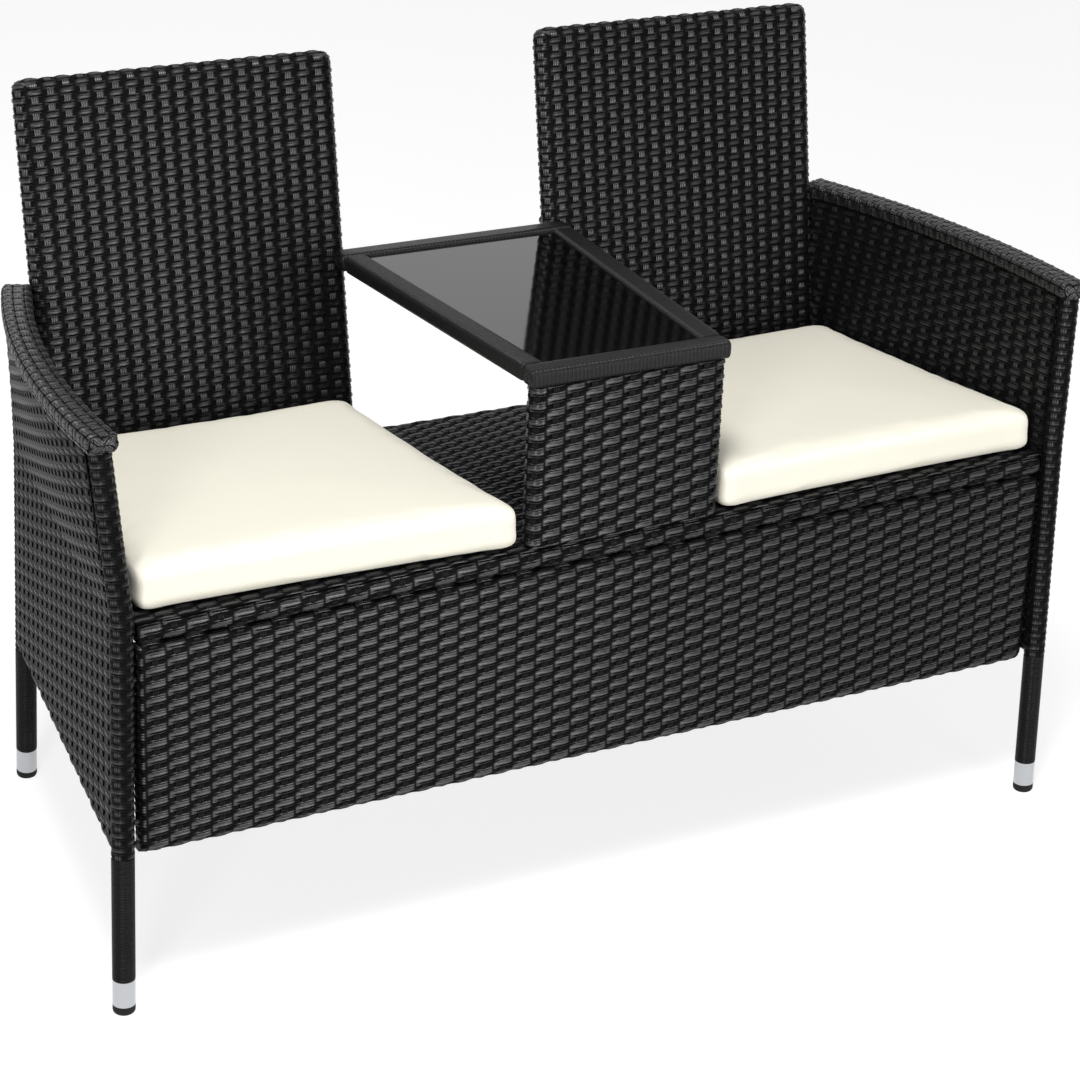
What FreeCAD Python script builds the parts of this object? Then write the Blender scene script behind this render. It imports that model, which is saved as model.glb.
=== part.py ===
import FreeCAD, Part
import math
import os

from FreeCAD import Placement, Rotation, Vector

# Garden bench for two with a glass table between the seats: a steel tube frame under woven plastic
# rattan, two loose seat cushions and a loose glass pane.
# Millimetres. X runs to the sitter's left, seen as right from the front; the front faces -Y; Z is up.
# The origin is on the floor, under the middle of the bench.

doc = FreeCAD.newDocument("garden_bench")

# Driving dimensions: name, size, what it measures.
DIMENSIONS = (
    ("tube_diameter", 20, "outside of the leg, side and apron tubes"),
    ("seat_tube_diameter", 17, "outside of the seat frame tubes"),
    ("back_tube_diameter", 22, "outside of the backrest tubes"),
    ("tube_wall", 1.2, "wall of every steel tube"),
    ("weld_gap", 0.1, "gap at a tube end that is coped to another tube"),
    ("bend_radius", 120, "radius of the bend in each leg at the seat"),
    ("skin_thickness", 2.3, "woven rattan skin"),
    ("skin_clearance", 0.2, "between a skin and what lies under it"),
    ("front_foot_x", 584, "front foot from the middle, sideways"),
    ("rear_foot_x", 507, "rear foot from the middle, sideways"),
    ("foot_y", 266, "feet from the middle, front and rear"),
    ("post_seat_x", 574, "front post at the seat, sideways"),
    ("post_seat_y", 258, "front post at the seat, forwards"),
    ("rear_leg_seat_x", 516, "rear leg at the seat, sideways"),
    ("rear_leg_seat_y", 200, "rear leg at the seat, backwards"),
    ("leg_bend_rise", 24, "bend of the legs above the seat's front rail"),
    ("arm_top_height", 650, "top of the woven arm"),
    ("arm_front_x", 587, "arm over the front post, sideways"),
    ("arm_front_y", 242, "arm over the front post, forwards"),
    ("arm_middle_x", 576, "arm half way back, sideways"),
    ("arm_rear_x", 523, "arm over the rear leg, sideways"),
    ("arm_rear_y", 186, "arm over the rear leg, backwards"),
    ("arm_rail_width", 28, "flat arm tube, across"),
    ("arm_rail_height", 15, "flat arm tube, upright"),
    ("side_lower_height", 185, "lower edge of the woven side"),
    ("side_top_thickness", 29, "woven side under the arm, through"),
    ("sleeve_diameter", 24.4, "aluminium foot sleeve, outside"),
    ("sleeve_length", 30, "aluminium foot sleeve, along the leg"),
    ("sleeve_clearance", 0.15, "between sleeve and leg tube"),
    ("cap_height", 10, "rubber foot cap below the sleeve"),
    ("cap_rounding", 5, "rounding of the cap's lower edge"),
    ("cap_plug_length", 14, "plug of the cap inside the tube"),
    ("cap_wear", 1, "cap flattened by the floor"),
    ("seat_rail_height", 432, "centre of the seat's front rail"),
    ("seat_rail_y", 250, "centre of the seat's front rail, forwards"),
    ("seat_drop", 10, "fall of the seat from front rail to rear rail"),
    ("seat_weave_thickness", 4, "woven seat"),
    ("seat_end_length", 6, "rail left beyond the middle of the seat's side rails"),
    ("seat_side_clearance", 1, "between the seat and the woven sides"),
    ("crossbar_x", 100, "seat crossbar from the middle"),
    ("back_recline", 10, "lean of the backrests, degrees"),
    ("back_base_gap", 2, "between the woven seat and the lower edge of the woven backrest"),
    ("back_base_y", 139, "front face of the backrest at its lower edge"),
    ("back_length", 438, "woven backrest along its lean"),
    ("back_inner_x", 133, "inner edge of each backrest"),
    ("back_side_clearance", 2, "between backrest and woven side"),
    ("back_rounding", 5, "rounding of the backrest's edges"),
    ("back_foot_length", 38, "bare upright below the woven backrest"),
    ("apron_top_gap", 2.5, "between the apron and the band round the seat's front rail"),
    ("apron_lower_height", 180, "lower edge of the apron"),
    ("apron_front_y", 265, "front face of the apron"),
    ("apron_end_clearance", 1.4, "between the apron and the woven sides"),
    ("table_top_height", 650, "top of the table frame"),
    ("table_front_y", 264, "front face of the table"),
    ("table_rear_clearance", 1.5, "between the table and the backrests"),
    ("table_front_half", 119, "half width of the table in front"),
    ("table_rear_half", 149, "half width of the table at the rear"),
    ("table_rail_width", 20, "flat table tube, across"),
    ("table_rail_height", 15, "flat table tube, upright"),
    ("table_joint_gap", 0.3, "between wrapped table rails"),
    ("panel_set_back", 0.5, "panel edges inside the table's edges"),
    ("panel_upright_inset", 8, "panel tube edge from the inside of the panel"),
    ("glass_thickness", 5, "tempered glass"),
    ("glass_recess", 4, "glass below the table frame's top"),
    ("glass_clearance", 1.5, "between glass and table frame, all round"),
    ("glass_bevel", 0.8, "ground edge of the glass"),
    ("bumper_diameter", 12, "silicone bumper under the glass"),
    ("bumper_height", 3.5, "silicone bumper under the glass"),
    ("lug_spread", 62, "glass lug from the middle, sideways"),
    ("lug_width", 16, "steel lug that carries a bumper, sideways"),
    ("lug_reach", 20, "steel lug, out of its rail"),
    ("lug_thickness", 3, "steel lug"),
    ("cushion_thickness", 48, "seat cushion at its edge"),
    ("cushion_crown", 3, "rise of the cushion's top in the middle"),
    ("cushion_front_inner_y", 262, "front corner of the cushion beside the table"),
    ("cushion_front_outer_y", 250, "front corner of the cushion beside the arm"),
    ("cushion_rear_clearance", 4, "between cushion and backrest"),
    ("cushion_side_clearance", 3, "between cushion and arm"),
    ("cushion_table_clearance", 3, "cushion outside the table's edge"),
    ("cushion_corner", 22, "rounding of the cushion's corners in plan"),
    ("cushion_rounding", 8, "rounding of the cushion's upper and lower edges"),
    ("cushion_draw_in", 3, "sides of the cushion drawn in between corners"),
    ("cover_thickness", 1.2, "fabric cover with its lining"),
    ("rest_gap", 0.3, "between a loose piece and its rest"),
    ("bolt_diameter", 6, "frame bolts"),
    ("bolt_clearance", 0.3, "round a bolt in its hole"),
    ("bolt_head_diameter", 10.5, "button head"),
    ("bolt_head_height", 3.3, "button head"),
    ("bolt_socket", 4, "hexagon socket, across flats"),
    ("bolt_socket_depth", 2, "hexagon socket"),
    ("bolt_end", 4, "bolt beyond the middle of the last tube"),
    ("bolt_row_inset", 25, "apron bolts from the apron's rails"),
    ("apron_bolt_y", 256, "apron bolts, forwards"),
    ("seat_bolt_inset", 60, "seat bolts from the ends of the seat's side rails"),
    ("panel_bolt_x", 70, "panel bolts from the middle"),
    ("washer_diameter", 12, "bolt washers"),
    ("washer_thickness", 1.2, "bolt washers"),
    ("side_strips", 8, "flat strips that make up the bow of the woven side"),
)

sheet = doc.addObject("Spreadsheet::Sheet", "Dimensions")
for row, (name, number, note) in enumerate(DIMENSIONS, 1):
    sheet.set("A%d" % row, note)
    sheet.set("B%d" % row, str(number))
    sheet.setAlias("B%d" % row, name)
doc.recompute()


def size(name):
    """Return one driving dimension."""
    return float(sheet.get(name))


SIDES = (("left", -1), ("right", 1))
UP = Vector(0, 0, 1)
ALONG_X = Vector(1, 0, 0)
ALONG_Y = Vector(0, 1, 0)

TUBE = "Dimensions.tube_diameter / 2"
SEAT_TUBE = "Dimensions.seat_tube_diameter / 2"
BACK_TUBE = "Dimensions.back_tube_diameter / 2"
COVER = "(Dimensions.skin_thickness + Dimensions.skin_clearance)"

tube_radius = size("tube_diameter") / 2
seat_tube_radius = size("seat_tube_diameter") / 2
back_tube_radius = size("back_tube_diameter") / 2
wall = size("tube_wall")
weld_gap = size("weld_gap")
skin = size("skin_thickness")
skin_clearance = size("skin_clearance")
cover = skin + skin_clearance
wrap_radius = tube_radius + cover

nodes = []


def keep(label, piece):
    """Name a finished piece; the label is also its file name."""
    piece.Label = label
    nodes.append(piece)
    return piece


def rod(name, radius, start, end):
    """Round bar from start to end; the radius is an expression."""
    bar = doc.addObject("Part::Cylinder", name)
    bar.setExpression("Radius", radius)
    bar.Height = (end - start).Length
    bar.Placement = Placement(start, Rotation(UP, end - start))
    return bar


def less(name, base, *tools):
    """Cut the tools from the base, one after another."""
    for number, tool in enumerate(tools):
        result = doc.addObject("Part::Cut", "%s_cut%d" % (name, number))
        result.Base = base
        result.Tool = tool
        base = result
    return base


def tube(name, radius, start, end, *tools):
    """Straight steel tube, coped and drilled by the tools."""
    outside = rod(name + "_outside", radius, start, end)
    bore = rod(name + "_bore", radius + " - Dimensions.tube_wall", start, end)
    return less(name, outside, bore, *tools)


def around(name, radius, start, end):
    """Room that a coped tube leaves for the tube from start to end."""
    return rod(name, radius + " + Dimensions.weld_gap", start, end)


def wire_object(name, edges):
    """Hold a wire, so that other features can use it."""
    holder = doc.addObject("Part::Feature", name)
    holder.Shape = Part.Wire(edges)
    return holder


def polygon(points):
    """Return the edges of a closed outline of straight lines."""
    return [Part.LineSegment(a, b).toShape() for a, b in zip(points, points[1:] + points[:1])]


def raised(name, edges, height):
    """Raise a flat outline along Z; the height is an expression."""
    block = doc.addObject("Part::Extrusion", name)
    block.Base = wire_object(name + "_outline", edges)
    block.DirMode = "Custom"
    block.Dir = UP
    block.Solid = True
    block.setExpression("LengthFwd", height)
    return block


def lofted(name, sections):
    """Join flat closed outlines, given as lists of edges, by a ruled solid."""
    body = doc.addObject("Part::Loft", name)
    body.Sections = [wire_object("%s_section%d" % (name, i), edges) for i, edges in enumerate(sections)]
    body.Solid = True
    body.Ruled = True
    return body


def block(name, frame, corner, length, width, height):
    """Box in a frame, with its low corner there and three size expressions."""
    box = doc.addObject("Part::Box", name)
    box.setExpression("Length", length)
    box.setExpression("Width", width)
    box.setExpression("Height", height)
    box.Placement = frame * Placement(corner, Rotation())
    return box


def group(label, pieces):
    """Node of several separate like pieces."""
    bundle = doc.addObject("Part::Compound", label)
    bundle.Links = pieces
    return keep(label, bundle)


# Legs: three points each, on the floor, at the bend and under the arm.
arm_rail_bottom = size("arm_top_height") - cover - size("arm_rail_height")
arm_wrap_bottom = arm_rail_bottom - cover
bend_height = size("seat_rail_height") + size("leg_bend_rise")


def leg_points(side, end):
    """Floor, bend and top of the front or the rear leg's centre line."""
    if end == "front":
        foot = Vector(side * size("front_foot_x"), -size("foot_y"), 0)
        bend = Vector(side * size("post_seat_x"), -size("post_seat_y"), bend_height)
        top = Vector(side * size("arm_front_x"), -size("arm_front_y"), arm_rail_bottom)
    else:
        foot = Vector(side * size("rear_foot_x"), size("foot_y"), 0)
        bend = Vector(side * size("rear_leg_seat_x"), size("rear_leg_seat_y"), bend_height)
        top = Vector(side * size("arm_rear_x"), size("arm_rear_y"), arm_rail_bottom)
    return foot, bend, top


def leg_at(side, end, height):
    """Point of a leg's centre line at a height."""
    foot, bend, top = leg_points(side, end)
    low, high = (foot, bend) if height <= bend_height else (bend, top)
    return low + (high - low) * ((height - low.z) / (high.z - low.z))


def bent_path(points, start_run):
    """Edges of a centre line with one tangent bend, from a run above the floor to past its top."""
    foot, bend, top = points
    first = (bend - foot).normalize()
    last = (top - bend).normalize()
    turn = first.getAngle(last)
    radius = size("bend_radius")
    setback = radius * math.tan(turn / 2)
    before = bend - first * setback
    after = bend + last * setback
    inward = (last - first).normalize()
    middle = bend + inward * (radius / math.cos(turn / 2) - radius)
    return [
        Part.LineSegment(foot + first * start_run, before).toShape(),
        Part.Arc(before, middle, after).toShape(),
        Part.LineSegment(after, top + last * tube_radius).toShape(),
    ]


def bent_rod(name, radius, points, start_run):
    """Round bar along a leg; the radius is an expression."""
    edges = bent_path(points, start_run)
    spine = wire_object(name + "_spine", edges)
    ring = doc.addObject("Part::Circle", name + "_ring")
    ring.setExpression("Radius", radius)
    ring.Placement = Placement(edges[0].Vertexes[0].Point, Rotation(UP, points[1] - points[0]))
    bar = doc.addObject("Part::Sweep", name)
    bar.Sections = [ring]
    bar.Spine = (spine, ["Edge1", "Edge2", "Edge3"])
    bar.Solid = True
    bar.Frenet = True
    return bar


def above(name, height):
    """Room over a level, as wide as the bench."""
    room = doc.addObject("Part::Box", name)
    room.setExpression("Length", "4 * Dimensions.arm_front_x")
    room.setExpression("Width", "4 * Dimensions.foot_y")
    room.setExpression("Height", "Dimensions.arm_top_height")
    room.Placement = Placement(Vector(-2 * size("arm_front_x"), -2 * size("foot_y"), height), Rotation())
    return room


# Bolts: button heads with a hexagon socket, each with its drilled way and its washer.
bolts = {"frame": [], "backrest": [], "table": []}
washers = []


def bolt(kind, name, seat, direction, length):
    """Bolt whose washer rests at a point; returns the drill that clears its shank."""
    frame = Placement(seat, Rotation(UP, direction))
    under_head = -size("washer_thickness")
    shank = doc.addObject("Part::Cylinder", name + "_shank")
    shank.setExpression("Radius", "Dimensions.bolt_diameter / 2")
    shank.Height = length - under_head
    shank.Placement = frame * Placement(Vector(0, 0, under_head), Rotation())
    head = doc.addObject("Part::Cylinder", name + "_head")
    head.setExpression("Radius", "Dimensions.bolt_head_diameter / 2")
    head.setExpression("Height", "Dimensions.bolt_head_height")
    head_bottom = under_head - size("bolt_head_height")
    head.Placement = frame * Placement(Vector(0, 0, head_bottom), Rotation())
    whole = doc.addObject("Part::Fuse", name + "_whole")
    whole.Base = head
    whole.Tool = shank
    socket = doc.addObject("Part::Prism", name + "_socket")
    socket.Polygon = 6
    socket.setExpression("Circumradius", "Dimensions.bolt_socket / sqrt(3)")
    socket.setExpression("Height", "Dimensions.bolt_socket_depth")
    socket.Placement = frame * Placement(Vector(0, 0, head_bottom), Rotation())
    bolts[kind].append(less(name, whole, socket))
    disc = doc.addObject("Part::Cylinder", name + "_disc")
    disc.setExpression("Radius", "Dimensions.washer_diameter / 2")
    disc.setExpression("Height", "Dimensions.washer_thickness")
    disc.Placement = frame * Placement(Vector(0, 0, under_head), Rotation())
    hole = doc.addObject("Part::Cylinder", name + "_hole")
    hole.setExpression("Radius", "Dimensions.bolt_diameter / 2 + Dimensions.bolt_clearance")
    hole.Height = length - under_head
    hole.Placement = shank.Placement
    washers.append(less(name + "_washer", disc, hole))
    return hole


# Seat frame: a front and a rear rail, two side rails beside the woven sides, two crossbars.
front_rail_z = size("seat_rail_height")
front_rail_y = -size("seat_rail_y")
recline = math.radians(size("back_recline"))
back_thickness = 2 * (back_tube_radius + cover)
weave_bottom_front = front_rail_z + seat_tube_radius + cover + skin_clearance
weave_bottom_rear = weave_bottom_front - size("seat_drop")
rear_rail_z = weave_bottom_rear - skin_clearance - seat_tube_radius
back_base_z = weave_bottom_rear + size("seat_weave_thickness") + size("back_base_gap")


def back_front_y(height):
    """Front face of the backrests at a height."""
    return size("back_base_y") + (height - back_base_z) * math.tan(recline)


upright_front_y = back_front_y(rear_rail_z) + cover / math.cos(recline)
rear_rail_y = upright_front_y - seat_tube_radius / math.cos(recline) - weld_gap
seat_slope = size("seat_drop") / (rear_rail_y - front_rail_y)
side_rail_front_z = weave_bottom_front - skin_clearance - seat_tube_radius


def seat_rail_z(y):
    """Centre height of the sloping seat rails at a depth."""
    return side_rail_front_z - seat_slope * (y - front_rail_y)


def side_line(side, height):
    """Point and unit direction of a woven side's middle line at a height."""
    front = leg_at(side, "front", height)
    rear = leg_at(side, "rear", height)
    return front, (rear - front).normalize()


def side_x(y, offset):
    """Distance from the middle to a line inside the woven side, at the seat."""
    front, along = side_line(1, bend_height)
    return front.x + (y - front.y) * along.x / along.y - offset / along.y


side_half = tube_radius + cover
side_rail_offset = side_half + size("seat_side_clearance") + seat_tube_radius
front_rail_end = side_x(front_rail_y, side_rail_offset) + size("seat_end_length")
rear_rail_end = side_x(rear_rail_y, side_rail_offset) + size("seat_end_length")

front_rail_ends = [Vector(side * front_rail_end, front_rail_y, front_rail_z) for word, side in SIDES]
rear_rail_ends = [Vector(side * rear_rail_end, rear_rail_y, rear_rail_z) for word, side in SIDES]


def seat_bar_ends(front_x, rear_x):
    """Ends of a bar from the front rail's to the rear rail's centre."""
    front = Vector(front_x, front_rail_y, seat_rail_z(front_rail_y))
    rear = Vector(rear_x, rear_rail_y, seat_rail_z(rear_rail_y))
    return front, rear


# Sides: each has a front post, a rear leg, an arm rail, a rail at the seat and a lower rail.
lower_rail_z = size("side_lower_height") + cover + tube_radius
seat_bolt_drills = {}
sleeves = []
caps = []


def foot(name, points):
    """Sleeve and cap on the end of a leg; the cap is flat where it meets the floor."""
    floor, bend, top = points
    along = (bend - floor).normalize()
    cap_top = floor + along * size("cap_height")
    sleeve_start = cap_top + along * weld_gap
    sleeve_end = cap_top + along * size("sleeve_length")
    outside = rod(name + "_sleeve", "Dimensions.sleeve_diameter / 2", sleeve_start, sleeve_end)
    bore = rod(name + "_sleeve_bore", TUBE + " + Dimensions.sleeve_clearance", sleeve_start, sleeve_end)
    sleeves.append(less(name + "_sleeve_ring", outside, bore))
    pad_start = floor - along * size("cap_wear")
    pad = rod(name + "_pad", "Dimensions.sleeve_diameter / 2", pad_start, cap_top)
    doc.recompute()
    lower_edge = 1 + min(range(len(pad.Shape.Edges)), key=lambda i: pad.Shape.Edges[i].CenterOfMass.z)
    rounded = doc.addObject("Part::Fillet", name + "_rounded_pad")
    rounded.Base = pad
    rounded.Edges = [(lower_edge, size("cap_rounding"), size("cap_rounding"))]
    plug_end = cap_top + along * size("cap_plug_length")
    plug_radius = TUBE + " - Dimensions.tube_wall - Dimensions.sleeve_clearance"
    plug = rod(name + "_plug", plug_radius, cap_top, plug_end)
    whole = doc.addObject("Part::Fuse", name + "_cap")
    whole.Base = rounded
    whole.Tool = plug
    ground = doc.addObject("Part::Box", name + "_ground")
    ground.setExpression("Length", "2 * Dimensions.sleeve_diameter")
    ground.setExpression("Width", "2 * Dimensions.sleeve_diameter")
    ground.setExpression("Height", "Dimensions.sleeve_diameter")
    reach = size("sleeve_diameter")
    ground.Placement = Placement(floor - Vector(reach, reach, reach), Rotation())
    caps.append(less(name + "_cap_on_floor", whole, ground))


def arm_curve(side):
    """Centre, radius and the end angles of the arm's arc, seen from above."""
    front = Vector(side * size("arm_front_x"), -size("arm_front_y"), 0)
    rear = Vector(side * size("arm_rear_x"), size("arm_rear_y"), 0)
    middle = Vector(side * size("arm_middle_x"), (front.y + rear.y) / 2, 0)
    circle = Part.Arc(front, middle, rear).toShape().Curve
    centre = circle.Center
    angles = [math.atan2(p.y - centre.y, (p.x - centre.x) * side) for p in (front, rear)]
    return centre, circle.Radius, angles


def on_arc(side, angle, distance, height):
    """Point at a distance from the centre of the arm's arc."""
    centre = arm_curve(side)[0]
    along = side * distance * math.cos(angle)
    return Vector(centre.x + along, centre.y + distance * math.sin(angle), height)


def arm_band(side, half_width, front_run, rear_run, height):
    """Edges of a flat band along the arm, longer than it by a run at each end."""
    radius, (front, rear) = arm_curve(side)[1:]
    start = front - front_run / radius
    end = rear + rear_run / radius

    outer = [on_arc(side, a, radius + half_width, height) for a in (start, (start + end) / 2, end)]
    inner = [on_arc(side, a, radius - half_width, height) for a in (start, (start + end) / 2, end)]
    return [
        Part.Arc(*outer).toShape(),
        Part.LineSegment(outer[2], inner[2]).toShape(),
        Part.Arc(inner[2], inner[1], inner[0]).toShape(),
        Part.LineSegment(inner[0], outer[0]).toShape(),
    ]


def side_section(side, height, half):
    """Edges of the straight section of a woven side at a height, from post to leg."""
    front, along = side_line(side, height)
    run = (leg_at(side, "rear", height) - front).Length
    out = Vector(along.y, -along.x, 0) * side * half
    end_room = wrap_radius + skin_clearance
    strips = int(size("side_strips"))
    steps = [end_room + (run - 2 * end_room) * i / strips for i in range(strips + 1)]
    outer = [front + along * step + out for step in steps]
    inner = [front + along * step - out for step in reversed(steps)]
    return polygon(outer + inner)


def bowed_section(side, height, half):
    """Edges of the section under the arm, in straight strips along the arm's arc."""
    radius, (front, rear) = arm_curve(side)[1:]
    end_room = (wrap_radius + skin_clearance) / radius
    strips = int(size("side_strips"))
    angles = [front + end_room + (rear - front - 2 * end_room) * i / strips for i in range(strips + 1)]

    outer = [on_arc(side, angle, radius + half, height) for angle in angles]
    inner = [on_arc(side, angle, radius - half, height) for angle in reversed(angles)]
    return polygon(outer + inner)


def side_shell(name, side, inset, lowest, highest):
    """Solid of a woven side: straight below the bend of its legs, bowed under the arm."""
    return lofted(name, [
        side_section(side, lowest, side_half - inset),
        side_section(side, bend_height, side_half - inset),
        bowed_section(side, highest, size("side_top_thickness") / 2 - inset),
    ])


# Backrests: the frame of each is placed at the lower inner edge of its front face.
back_outer_x = side_x(back_front_y(bend_height) + back_thickness / math.cos(recline), side_half)
back_outer_x -= size("back_side_clearance")
back_width = back_outer_x - size("back_inner_x")
back_turn = Rotation(ALONG_X, -size("back_recline"))


def back_frame(side):
    """Placement of a backrest: X across it, Y through it, Z up along its lean."""
    low_x = size("back_inner_x") if side > 0 else -back_outer_x
    return Placement(Vector(low_x, size("back_base_y"), back_base_z), back_turn)


def back_room(name, side, clearance):
    """Box that a backrest needs, with a clearance all round."""
    box = doc.addObject("Part::Box", name)
    box.Length = back_width + 2 * clearance
    box.Width = back_thickness + 2 * clearance
    box.Height = size("back_length") + 2 * clearance
    box.Placement = back_frame(side) * Placement(Vector(-clearance, -clearance, -clearance), Rotation())
    return box


# Bolts of the seat, from inside the side rails into the woven sides' seat rails.
for word, side in SIDES:
    seat_bolt_drills[side] = []
    front, rear = seat_bar_ends(side * side_x(front_rail_y, side_rail_offset),
                                side * side_x(rear_rail_y, side_rail_offset))
    run = rear - front
    run.normalize()
    outward = Vector(run.y, -run.x, 0).normalize() * side
    inset = size("seat_bolt_inset")
    for place, along in (("front", inset), ("rear", (rear - front).Length - inset)):
        head = front + run * along - outward * seat_tube_radius
        length = 2 * seat_tube_radius + size("seat_side_clearance") + side_half + size("bolt_end")
        drill = bolt("frame", "%s_%s_seat_bolt" % (word, place), head, outward, length)
        seat_bolt_drills[side].append(drill)

# Bolts of the apron, from inside its end rails into the posts.
apron_top = front_rail_z - seat_tube_radius - cover - size("apron_top_gap")
apron_top_z = apron_top - cover - tube_radius
apron_lower_z = size("apron_lower_height") + cover + tube_radius
apron_y = -size("apron_front_y") + cover + tube_radius
apron_back_y = apron_y + tube_radius + cover
apron_end = side_x(apron_back_y, side_half) - size("apron_end_clearance")
apron_end_rail_x = apron_end - cover - tube_radius
apron_bolt_drills = {}
bolt_inset = size("bolt_row_inset")
apron_bolt_rows = (("upper", apron_top_z - bolt_inset), ("lower", apron_lower_z + bolt_inset))
for word, side in SIDES:
    apron_bolt_drills[side] = []
    for place, z in apron_bolt_rows:
        head = Vector(side * (apron_end_rail_x - tube_radius), -size("apron_bolt_y"), z)
        reach = leg_at(1, "front", z).x + size("bolt_end")
        length = reach - apron_end_rail_x + tube_radius
        drill = bolt("frame", "%s_%s_apron_bolt" % (word, place), head, ALONG_X * side, length)
        apron_bolt_drills[side].append(drill)

over_tubes = above("over_leg_tubes", arm_rail_bottom - weld_gap)
over_wraps = above("over_leg_wraps", arm_wrap_bottom - skin_clearance)
for word, side in SIDES:
    posts = {end: leg_points(side, end) for end in ("front", "rear")}
    seat_rail = (leg_at(side, "front", seat_rail_z(-size("post_seat_y"))),
                 leg_at(side, "rear", seat_rail_z(size("rear_leg_seat_y"))))
    lower_rail = (leg_at(side, "front", lower_rail_z), leg_at(side, "rear", lower_rail_z))
    tube_start = size("cap_height") + weld_gap
    wrap_start = size("cap_height") + size("sleeve_length") + skin_clearance

    leg_room = {}
    for end, label in (("front", "front_post"), ("rear", "rear_leg")):
        name = "%s_%s" % (word, label)
        drills = apron_bolt_drills[side] if end == "front" else []
        outside = bent_rod(name + "_outside", TUBE, posts[end], tube_start)
        bore = bent_rod(name + "_bore", TUBE + " - Dimensions.tube_wall", posts[end], tube_start)
        keep(name, less(name, outside, bore, over_tubes, *drills))
        wrap = bent_rod(name + "_wrap_outside", TUBE + " + " + COVER, posts[end], wrap_start)
        room = bent_rod(name + "_wrap_bore", TUBE + " + Dimensions.skin_clearance", posts[end], wrap_start)
        seat_room = rod(name + "_seat_rail_room", TUBE + " + Dimensions.skin_clearance", *seat_rail)
        lower_room = rod(name + "_lower_rail_room", TUBE + " + Dimensions.skin_clearance", *lower_rail)
        keep(name + "_wrap", less(name + "_wrap", wrap, room, over_wraps, seat_room, lower_room, *drills))
        leg_room[end] = around(name + "_room", TUBE, *posts[end][:2])
        leg_room[end + "_hole"] = bent_rod(
            name + "_arm_hole", TUBE + " + Dimensions.skin_clearance", posts[end], tube_start)
        foot(name, posts[end])

    name = word + "_side_seat_rail"
    keep(name, tube(name, TUBE, *seat_rail, leg_room["front"], leg_room["rear"], *seat_bolt_drills[side]))
    name = word + "_side_lower_rail"
    keep(name, tube(name, TUBE, *lower_rail, leg_room["front"], leg_room["rear"]))

    # The arm rail is a flat tube that bows outwards; its wrap is closed round both ends.
    name = word + "_arm_rail"
    half = size("arm_rail_width") / 2
    run = tube_radius
    rail = raised(name + "_outside", arm_band(side, half, run, run, arm_rail_bottom),
                  "Dimensions.arm_rail_height")
    bore = raised(name + "_bore", arm_band(side, half - wall, run, run, arm_rail_bottom + wall),
                  "Dimensions.arm_rail_height - 2 * Dimensions.tube_wall")
    back_clear = size("back_side_clearance") + cover
    keep(name, less(name, rail, bore, back_room(name + "_back_room", side, back_clear)))
    name = word + "_arm_wrap"
    run = tube_radius + cover
    wrap = raised(name + "_outside", arm_band(side, half + cover, run, run, arm_wrap_bottom),
                  "Dimensions.arm_rail_height + 2 * " + COVER)
    run = tube_radius + skin_clearance
    inside_bottom = arm_rail_bottom - skin_clearance
    inside = raised(name + "_inside", arm_band(side, half + skin_clearance, run, run, inside_bottom),
                    "Dimensions.arm_rail_height + 2 * Dimensions.skin_clearance")
    keep(name, less(name, wrap, inside, leg_room["front_hole"], leg_room["rear_hole"],
                    back_room(name + "_back_room", side, weld_gap)))

    # The woven side is a skin folded round the lower rail, open under the arm.
    name = word + "_side_weave"
    top = arm_wrap_bottom - skin_clearance
    shell = side_shell(name + "_outside", side, 0, size("side_lower_height"), top)
    inside = side_shell(name + "_inside", side, skin, size("side_lower_height") + skin, top)
    keep(name, less(name, shell, *seat_bolt_drills[side], inside))

group("foot_sleeves", sleeves)
group("foot_caps", caps)

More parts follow.
